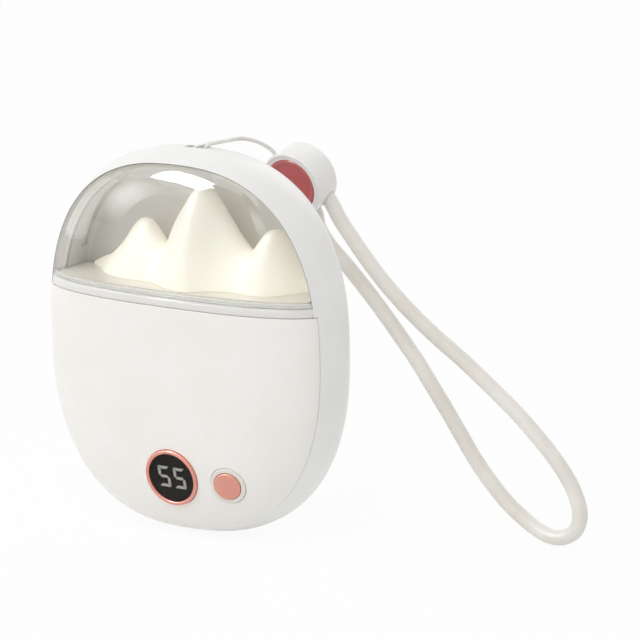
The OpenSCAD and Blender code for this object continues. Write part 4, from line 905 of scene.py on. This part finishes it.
range_rows = []
bends = np.linspace(0, math.pi, 49)
for x, h, front, rear in curve_through(mountain_rows, 10):
    front, rear = front * RANGE_D, rear * RANGE_D
    y = (front + rear) / 2 - (rear - front) / 2 * np.cos(bends)
    z = FOOT_Z + 0.3 + (h * PEAK_H - 0.3) * np.sin(bends) ** 1.3
    foot_line = [(x * RANGE_W, rear, FOOT_Z), (x * RANGE_W, front, FOOT_Z)]
    range_rows.append(foot_line + [(x * RANGE_W, a, b) for a, b in zip(y, z)])
range_mesh = lofted("mountain_range", range_rows)

# %% Mountain finish
# Cast polyester resin with a milky filler: satin, and light wanders a few mm inside it. Its
# grain is the 0.8 mm swirl of the pour.
milky_resin = paint("milky_resin", "#FBF8F0", "#F8F5EA", 0.42, 0.8, bump=0.006, blotch=11,
                    IOR=1.55, Subsurface_Weight=0.35, Subsurface_Scale=0.003)
tree, shader, place = parts_of(milky_resin)
split = node(tree, "SeparateXYZ", Vector=place)
SMOOTH = {"interpolation_type": "SMOOTHSTEP"}
# Painted light: the resin's own emission stands in for the hidden lamps' light, strongest at the
# foot and in the two valleys, with an even share everywhere.
foot = node(tree, "MapRange", SMOOTH, Value=split.outputs[2], From_Min=FOOT_Z * MM,
            From_Max=0.068, To_Min=1.0, To_Max=0.0)
valleys = None
VALLEYS_X, VALLEY_REACH = (-0.0062, 0.014), 0.006
for centre in VALLEYS_X:
    near = node(tree, "Math", {"operation": "SUBTRACT"}, i0=split.outputs[0], i1=centre)
    apart = node(tree, "Math", {"operation": "ABSOLUTE"}, i0=near.outputs[0])
    close = node(tree, "MapRange", SMOOTH, Value=apart.outputs[0], From_Min=0.0,
                 From_Max=VALLEY_REACH, To_Min=1.0, To_Max=0.0)
    valleys = close.outputs[0] if valleys is None else node(
        tree, "Math", i0=valleys, i1=close.outputs[0]).outputs[0]
VALLEY_SHARE, FOOT_GLOW, EVEN_GLOW = 0.35, 0.12, 0.1
glow = node(tree, "Math", {"operation": "MULTIPLY"}, i0=foot.outputs[0], i1=valleys)
painted_glow = node(tree, "Math", {"operation": "MULTIPLY_ADD"}, i0=glow.outputs[0], i1=VALLEY_SHARE,
            i2=foot.outputs[0])
painted_glow_strength = node(tree, "Math", {"operation": "MULTIPLY_ADD"}, i0=painted_glow.outputs[0], i1=FOOT_GLOW,
              i2=EVEN_GLOW)
tree.links.new(painted_glow_strength.outputs[0], shader.inputs["Emission Strength"])
shader.inputs["Emission Color"].default_value = linear("#FFF6DC")
mountains = piece("mountain_range", softened(range_mesh, 12), milky_resin,
                  replaces=["mountains"], angle=70)
print("mountains", len(mountains.data.polygons), "faces")

# %% [markdown]
# ## Display and button
# The display is a black disc under glass in a rose metal ring, and the button is a rose cap in
# a white ring. All of these are turned pieces, so each is a half profile with rounded corners,
# spun about its axis: that gives a true round edge, which a bevelled cylinder only comes near.
# The numerals are seven-segment bars. A font could give them, but the real segments have
# mitred ends with thin gaps between them, so each bar is a small face, extruded.

# %% Display and button materials
# Rose anodised aluminium, turned bright: a metal's coloured mirror under a thin clear oxide.
rose_aluminium = paint("rose_aluminium", "#E8A090", "#DE9384", 0.24, 0.15, bump=0.002,
                       drift=0.05, Metallic=0.75, Coat_Weight=0.3, Coat_Roughness=0.12)
# Rose metallic lacquer on ABS: half paint and half flake, so it is even and softly bright.
flake_lacquer = paint("flake_lacquer", "#E29C8C", "#DD9685", 0.38, 0.12, bump=0.003,
                      drift=0.05, Metallic=0.35, Coat_Weight=0.15, Coat_Roughness=0.25)
# Gloss ABS, moulded: a slightly creamy white with a narrow highlight on its rounded edge.
gloss_abs = paint("gloss_abs", "#EDEBE5", "#E5E3DC", 0.28, 0.3, bump=0.002)
# The printed black mask of the display: matt and nearly black, it mirrors almost nothing.
black_mask = paint("black_mask", "#1B1A17", "#181714", 0.55, 0.3, bump=0.001,
                   Specular_IOR_Level=0.1)
# The segments' diffuser, frosted acrylic: pale grey and flat in tone.
frosted_segments = paint("frosted_segments", "#CDCDCB", "#C2C2C0", 0.5, 0.08, bump=0.002)

# %% Display and button pieces
def bezel_profile(d, width, depth, proud, r):
    """A ring's section: diameter, width, depth below and height above the surface, edge."""
    outer_r, inner_r = d / 2, d / 2 - width
    top = rounded([(inner_r, -depth), (inner_r, proud), (outer_r, proud), (outer_r, -depth)],
                  [0, r, r, 0])
    return [*top, (inner_r, -depth)]


display_bezel = turned("display_bezel", bezel_profile(DISPLAY_D, width=0.8, depth=2.2,
                                                      proud=0.35, r=0.33), 160,
                       display_place)
piece("display_bezel", display_bezel, rose_aluminium, replaces=["display_ring"])
button_bezel = turned("button_bezel", bezel_profile(BUTTON_D, width=0.98, depth=2.2,
                                                    proud=0.175, r=0.25), 144,
                      button_place)
piece("button_bezel", button_bezel, gloss_abs, replaces=["button_ring"])
cap_profile = rounded([(0, -3.6), (1.2, -3.6), (1.2, -3.1), (3.44, -3.1), (3.44, -2.4),
                       (2.95, -2.4), (2.95, 0.4), (2.2, 0.5), (0, 0.545)],
                      [0, 0.1, 0, 0.1, 0.1, 0, 0.3, 0.5, 0])
piece("button_face", turned("button_face", cap_profile, 144, button_place), flake_lacquer,
      body="button", replaces=["button_cap"])
print("bezels", len(display_bezel.polygons), len(button_bezel.polygons), "faces")

# %% Numerals
five_bars = [
    [(-1.27, 2.33), (1.31, 2.33), (0.7, 1.72), (-0.66, 1.72)],
    [(-1.37, 2.17), (-0.76, 1.56), (-0.76, 0.37), (-1.05, 0.08), (-1.37, 0.38)],
    [(-0.95, 0.0), (-0.65, 0.3), (0.65, 0.3), (0.95, 0.0), (0.65, -0.3), (-0.65, -0.3)],
    [(1.37, -2.17), (0.76, -1.56), (0.76, -0.37), (1.05, -0.08), (1.37, -0.38)],
    [(1.27, -2.33), (-1.31, -2.33), (-0.7, -1.72), (0.66, -1.72)]]
DIGIT_SHIFT, DIGIT_LOW, DIGIT_THICK = 1.88, -0.37, 0.12
digit_form = bmesh.new()
lean = math.tan(math.radians(2))
for shift in (-DIGIT_SHIFT, DIGIT_SHIFT):
    for bar in five_bars:
        row_of(digit_form, [(x + shift - lean * y, y, DIGIT_LOW) for x, y in bar], around=True)
bmesh.ops.holes_fill(digit_form, edges=digit_form.edges, sides=0)
bmesh.ops.edgenet_fill(digit_form, edges=[e for e in digit_form.edges if e.is_wire])
raised = bmesh.ops.extrude_face_region(digit_form, geom=digit_form.faces[:],
                                       use_keep_orig=True)["geom"]
bmesh.ops.translate(digit_form, vec=(0, 0, DIGIT_THICK * MM),
                    verts=[v for v in raised if isinstance(v, bmesh.types.BMVert)])
digit_mesh = closed_mesh(digit_form, "numerals")
digit_mesh.transform(display_place)
numerals = piece("display_numerals", digit_mesh, frosted_segments,
                 replaces=["display_digits"], soft=False)
print("display and button made,", len(numerals.data.polygons), "faces in the numerals")

# %% [markdown]
# ## Drum
# The drum is the white toggle that gathers the strap and the cord, with a glossy rose disc let
# into its front face. Both are turned, so both are spun. Its holes, two for the strap and one
# for the cord, run in from the side: cones without a taper are set there and cut away.

# %% Drum materials
# The drum's ABS, moulded and lightly buffed: white, with a broad soft highlight.
buffed_abs = paint("buffed_abs", "#F3F3F1", "#EFEEEC", 0.3, 0.4, bump=0.003, blotch=8,
                   Coat_Weight=0.2, Coat_Roughness=0.2)
# Dark rose lacquer under a hard clear coat: deep colour with a thin sharp line on its rim.
clear_coated_rose = paint("clear_coated_rose", "#C66061", "#C0595B", 0.2, 0.2, bump=0.001,
                          Specular_IOR_Level=0.4, Coat_Weight=0.6, Coat_Roughness=0.03)

# %% Drum
drum_place = (Matrix.Translation(Vector((13.6, 16.6, 71.4)) * MM)
              @ Matrix.Rotation(math.radians(-6.1), 4, "Z")
              @ Matrix.Rotation(math.radians(103.4), 4, "X"))
DRUM_HOLES, STRAP_APART, STRAP_HOLE, CORD_HOLE = (-57, 148), 2.7, 3.5, 2.6
cap_r = 11.7 / 2 + 0.07
drum_profile = rounded([(0, -7), (7.25, -7), (7.25, 0), (6.75, 0), (6.65, -0.14), (cap_r, -0.14),
                        (cap_r, -1.85), (cap_r - 0.8, -1.85), (cap_r - 0.8, -5.8), (0, -5.8)],
                       [0, 0.8, 0.4, 0.05, 0.05, 0.1, 0, 0, 0.3, 0])


def side_drill(angle, shift, diameter):
    """A cutter for a hole that runs in from the drum's side."""
    place = (drum_place @ Matrix.Translation(Vector((0, 0, -4.55)) * MM)
             @ Matrix.Rotation(math.radians(angle), 4, "Z")
             @ Matrix.Translation(Vector((0, shift, 0)) * MM)
             @ Matrix.Rotation(math.radians(90), 4, "Y")
             @ Matrix.Translation(Vector((0, 0, 7.25)) * MM))
    form = bmesh.new()
    bmesh.ops.create_cone(form, cap_ends=True, segments=64, radius1=diameter / 2 * MM,
                          radius2=diameter / 2 * MM, depth=14.5 * MM, matrix=place)
    return closed_mesh(form, "drill")


drum_mesh = shaped(turned("drum", drum_profile, 160, drum_place),
                   cutters=(side_drill(DRUM_HOLES[0], -STRAP_APART, STRAP_HOLE),
                            side_drill(DRUM_HOLES[0], STRAP_APART, STRAP_HOLE),
                            side_drill(DRUM_HOLES[1], 0, CORD_HOLE)))
drum = piece("drum_shell", drum_mesh, buffed_abs, replaces=["drum_body"])
disc_profile = rounded([(0, -1.85), (5.85, -1.85), (5.85, -0.05), (5.2, -0.05), (4.95, -0.45),
                        (0, -0.3)], [0, 0, 0.4, 0.32, 0.25, 0])
disc = piece("drum_disc", turned("drum_disc", disc_profile, 160, drum_place),
             clear_coated_rose, replaces=["drum_cap"])

print("drum made")

# %% [markdown]
# ## Materials of the inner pieces
# The working parts are hidden: boards, cells, foam, heat plates, films, wires. Their CAD
# solids are already the right shape, so nothing is modelled again, and each only gets the
# finish that the real part has. A mask laid over a paint gives it traces, solder or brushing,
# which would be far too many faces to model.

# %% Inner materials
def layered(material, mask, colour, metallic=None):
    """Lays a second finish over a paint where the mask is 1."""
    tree, shader, _ = parts_of(material)
    mix = node(tree, "Mix", {"data_type": "RGBA"}, i0=mask,
               i6=shader.inputs["Base Color"].links[0].from_socket, i7=linear(colour))
    tree.links.new(mix.outputs[2], shader.inputs["Base Color"])
    if metallic is not None:
        amount = node(tree, "Math", {"operation": "MULTIPLY"}, i0=mask, i1=metallic)
        tree.links.new(amount.outputs[0], shader.inputs["Metallic"])
    return material


def stripes(material, pitch, axis, share, wave=0.0):
    """A mask of lines a pitch apart in mm, across one axis, waving a little."""
    tree, _, place = parts_of(material)
    lines = node(tree, "TexWave",
                 {"wave_type": "BANDS", "bands_direction": axis, "wave_profile": "TRI"},
                 Vector=place, Scale=1000 / pitch / 20, Distortion=wave, Detail=0.0)
    return node(tree, "MapRange", Value=lines.outputs["Fac"], From_Min=share - 0.04,
                From_Max=share + 0.04).outputs[0]


def dots(material, pitch, radius):
    """A mask of round spots about a pitch apart, with a radius, in mm."""
    tree, _, place = parts_of(material)
    cells = node(tree, "TexVoronoi", Vector=place, Scale=1000 / pitch, Randomness=0.7)
    return node(tree, "MapRange", Value=cells.outputs["Distance"],
                From_Min=radius / pitch + 0.03, From_Max=radius / pitch - 0.03).outputs[0]


# %% Plastics, foams and boards
# White foam tape: matt, with open cells of about 0.2 mm.
foam_tape = paint("foam_tape", "#DEDBD4", "#D6D3CB", 0.7, 0.2, bump=0.02)
# Warm grey ABS, moulded: the floor of the scene, satin so that the mountains shade on it.
warm_grey_abs = paint("warm_grey_abs", "#EDE9E1", "#E6E2D9", 0.36, 0.5, bump=0.004, blotch=10,
                      Coat_Weight=0.15, Coat_Roughness=0.2)
# Glass fibre board under green solder mask: glossy green, traces 1.1 mm apart, solder pads.
masked_board = paint("masked_board", "#1E6B41", "#185C36", 0.3, 0.3, bump=0.01,
                     Coat_Weight=0.5, Coat_Roughness=0.15)
layered(masked_board, stripes(masked_board, 1.1, "X", 0.8, 1.5), "#2E8A57")
layered(masked_board, dots(masked_board, 2.4, 0.3), "#C9C6BB", metallic=0.9)
# Yellow phosphor cast in silicone over the lamps' dies: it glows warm white.
cast_phosphor = paint("cast_phosphor", "#F7E08A", "#F2D770", 0.3, 0.2, bump=0.004,
                      Emission_Color=linear("#FFE6A0"), Emission_Strength=2.5)
# Glass-filled nylon, moulded: black and dull, with a fine dry grain.
black_nylon = paint("black_nylon", "#1C1C1D", "#242425", 0.5, 0.15, bump=0.006)
# Grey ABS, moulded and left matt, since nobody sees the inner frame.
matt_grey_abs = paint("matt_grey_abs", "#D6D6D4", "#CBCBC9", 0.5, 0.3, bump=0.008)
# Ivory nylon, moulded: creamy and satin, as connectors are.
ivory_nylon = paint("ivory_nylon", "#EDE8D6", "#E4DECA", 0.45, 0.25, bump=0.006)
# Black sponge: no shine at all, cells of about 0.45 mm.
black_sponge = paint("black_sponge", "#3C3C3F", "#2F2F32", 0.95, 0.45, bump=0.12)
# PVC insulation, extruded: satin red and white wires.
red_pvc = paint("red_pvc", "#B3231C", "#9F1C16", 0.45, 0.25, bump=0.01)
white_pvc = paint("white_pvc", "#E9E8E3", "#DDDCD6", 0.45, 0.25, bump=0.01)

# %% Metals, films and ceramics
# Steel plated with nickel: a warm grey mirror, slightly blurred.
nickel_plate = paint("nickel_plate", "#C8C7C3", "#BDBCB8", 0.26, 0.2, bump=0.002, Metallic=1.0)
# Aluminium foil laminate of the pouch cells: crumpled over about 1.6 mm.
pouch_foil = paint("pouch_foil", "#A9AFB5", "#9CA2A8", 0.34, 1.6, bump=0.12, drift=0.08,
                   Metallic=0.85)
# Brushed aluminium: lines along one way. Real ones are 0.05 mm apart, drawn at 0.3 mm to show.
brushed_aluminium = paint("brushed_aluminium", "#C6C8CA", "#B7B9BC", 0.36, 0.25, bump=0.006,
                          Metallic=1.0)
layered(brushed_aluminium, stripes(brushed_aluminium, 0.3, "Z", 0.5, 0.4), "#AEB0B3")
# Polyimide film, cast: glossy amber, with the heater's etched track every 3 mm.
polyimide_film = paint("polyimide_film", "#D58A23", "#C67A19", 0.25, 0.5, bump=0.004,
                       Coat_Weight=0.4, Coat_Roughness=0.1)
layered(polyimide_film, stripes(polyimide_film, 3.0, "X", 0.62), "#8E4A1E", metallic=0.7)
# Sintered ferrite: a dark grey, slightly rough stone.
sintered_ferrite = paint("sintered_ferrite", "#2B2B2D", "#353537", 0.6, 0.3, bump=0.02)
# Fired ceramic of the capacitors: tan and dull.
fired_ceramic = paint("fired_ceramic", "#B39166", "#A5835A", 0.5, 0.2, bump=0.01)
# Moulded acrylic with an anti-glare coat: the display glass hardly mirrors the room, as if
# its IOR were 1.15.
coated_acrylic = clear("coated_acrylic", "#F0EFED", 0.02, 2, ior=1.15)

# %% Which piece has which finish
finishes = {
    foam_tape: ["lens_gasket"], warm_grey_abs: ["scene_floor"],
    masked_board: ["night_light_board", "protection_board", "main_board"],
    cast_phosphor: ["night_light_leds"], coated_acrylic: ["display_glass"],
    black_mask: ["display_panel"],
    black_nylon: ["display_module", "tact_switch", "switch_plunger", "thermistors",
                  "controller_chip", "charger_chip", "usb_tongue"],
    matt_grey_abs: ["inner_frame"], pouch_foil: ["rear_cell", "front_cell"],
    nickel_plate: ["frame_screws", "board_screws", "usb_shell", "eyelet_bar", "cord_crimp"],
    black_sponge: ["rear_pad", "front_pad"],
    brushed_aluminium: ["rear_heat_plate", "front_heat_plate"],
    polyimide_film: ["rear_heater_film", "front_heater_film"],
    sintered_ferrite: ["power_inductor"], fired_ceramic: ["capacitors"],
    ivory_nylon: ["battery_connector"], red_pvc: ["battery_leads"],
    white_pvc: ["heater_leads", "light_leads"]}
for finish, names in finishes.items():
    for name in names:
        solid_node = bpy.data.objects[name]
        if not solid_node.material_slots:
            solid_node.data.materials.append(None)
        for spot in solid_node.material_slots:
            spot.material = finish
print(sum(len(names) for names in finishes.values()), "inner pieces finished")

# %% [markdown]
# ## Floor and light
# The picture has a pure white ground. More light would give that too, but it would bleach the
# body. So the floor and the world are plain white only to the camera, to mirrors and through
# clear plastic, while the body is lit by an even grey world at which a colour renders about as
# it is written. Four large weak lamps make the broad highlights, and three cards stand where
# the window mirrors the studio's softboxes.

# %% Floor
def seen_plainly(tree, share):
    """A share for rays that come straight from the camera, a mirror or clear plastic."""
    path = node(tree, "LightPath")
    total = path.outputs["Is Camera Ray"]
    for kind in ("Is Glossy Ray", "Is Transmission Ray"):
        total = node(tree, "Math", {"operation": "MAXIMUM"}, i0=total,
                     i1=path.outputs[kind]).outputs[0]
    return node(tree, "Math", {"operation": "MULTIPLY"}, i0=total, i1=share).outputs[0]


floor_form = bmesh.new()
bmesh.ops.create_grid(floor_form, x_segments=1, y_segments=1, size=3)
floor_mesh = bpy.data.meshes.new("floor")
floor_form.to_mesh(floor_mesh)
floor_form.free()
floor = bpy.data.objects.new("floor", floor_mesh)
bpy.context.scene.collection.objects.link(floor)
floor.location.z = -0.0003
ground = bpy.data.materials.new("ground")
ground.use_nodes = True
tree = ground.node_tree
tree.nodes.clear()
soft = node(tree, "BsdfDiffuse", Color=(0.9, 0.9, 0.89, 1))
bright = node(tree, "Emission", Color=(1, 1, 1, 1), Strength=1.0)
mix = node(tree, "MixShader", Fac=seen_plainly(tree, 0.93), i1=soft.outputs[0],
           i2=bright.outputs[0])
tree.links.new(mix.outputs[0], node(tree, "OutputMaterial").inputs[0])
floor_mesh.materials.append(ground)

# %% Light
world = bpy.data.worlds.new("world")
world.use_nodes = True
tree = world.node_tree
tree.nodes.clear()
plain = node(tree, "Background", Color=(1, 1, 1, 1), Strength=1.0)
ambient = node(tree, "Background", Color=(1.0, 0.99, 0.975, 1), Strength=0.617)
mix = node(tree, "MixShader", Fac=seen_plainly(tree, 1.0), i1=ambient.outputs[0],
           i2=plain.outputs[0])
tree.links.new(mix.outputs[0], node(tree, "OutputWorld").inputs[0])
bpy.context.scene.world = world


def area_light(name, at, to, size, power):
    """A square white lamp that points from one place to another."""
    data = bpy.data.lights.new(name, "AREA")
    data.shape = "SQUARE"
    data.size = size
    data.energy = power
    lamp = bpy.data.objects.new(name, data)
    lamp.location = at
    lamp.rotation_euler = (Vector(to) - Vector(at)).to_track_quat("-Z", "Y").to_euler()
    lamp.visible_camera = False
    bpy.context.scene.collection.objects.link(lamp)


TARGET, LAMP_AWAY, LAMP_SIZE = (0, 0, 0.04), 1.2, 0.7
for name, azimuth, elevation, power in (("window_side", -45, 35, 1.6), ("low_left", -75, 10, 1.8),
                                        ("high_front", 0, 60, 3.8), ("rear", 180, 35, 1.5)):
    a, e = math.radians(azimuth), math.radians(elevation)
    way = Vector((math.sin(a) * math.cos(e), -math.cos(a) * math.cos(e), math.sin(e)))
    area_light(name, Vector(TARGET) + LAMP_AWAY * way, TARGET, LAMP_SIZE, power)

# %% [markdown]
# The window of the real one mirrors a bright softbox at its top, a soft one on its left and
# a slim one on its right. An area lamp shows in a mirror as well, but it also lights the
# body, and its edge is always sharp. A card that only mirrors see can have the
# reflection's own outline, and fade.

# %% Softbox reflections
def glint(name, corners, strength, centre=None, reach=0.0):
    """A bright card out of the picture that only mirrors show, soft where it has a reach."""
    form = bmesh.new()
    form.faces.new([form.verts.new(corner) for corner in corners])
    card = bpy.data.meshes.new(name)
    form.to_mesh(card)
    form.free()
    shine = bpy.data.materials.new(name)
    shine.use_nodes = True
    tree = shine.node_tree
    tree.nodes.clear()
    lamp = node(tree, "Emission", Color=(1, 1, 1, 1), Strength=strength)
    if centre:
        spot = node(tree, "TexCoord").outputs["Object"]
        away = node(tree, "VectorMath", {"operation": "DISTANCE"}, i0=spot, i1=centre)
        fade = node(tree, "MapRange", SMOOTH, Value=away.outputs["Value"], From_Min=reach,
                    From_Max=0.0, To_Min=0.0, To_Max=strength)
        tree.links.new(fade.outputs[0], lamp.inputs["Strength"])
    tree.links.new(lamp.outputs[0], node(tree, "OutputMaterial").inputs[0])
    card.materials.append(shine)
    made = bpy.data.objects.new(name, card)
    bpy.context.scene.collection.objects.link(made)
    made.visible_camera = made.visible_diffuse = made.visible_transmission = False
    made.visible_shadow = False


glint("sharp_glint", [(-0.364, -0.379, 0.381), (-0.314, -0.282, 0.508), (-0.161, -0.417, 0.48),
                      (-0.182, -0.455, 0.427), (-0.165, -0.462, 0.427), (-0.24, -0.486, 0.341)],
      30.0)
glint("soft_glint", [(-0.56, -0.33, 0.1), (-0.5, -0.31, 0.3), (-0.365, -0.395, 0.37),
                     (-0.3, -0.48, 0.3), (-0.43, -0.44, 0.07)], 7.8, (-0.42, -0.41, 0.22), 0.17)
glint("right_glint", [(0.03, -0.4, 0.55), (0.1, -0.4, 0.55), (0.2, -0.6, 0.16),
                      (0.06, -0.62, 0.16)], 5.0, (0.08, -0.57, 0.3), 0.17)
print("light and floor set")
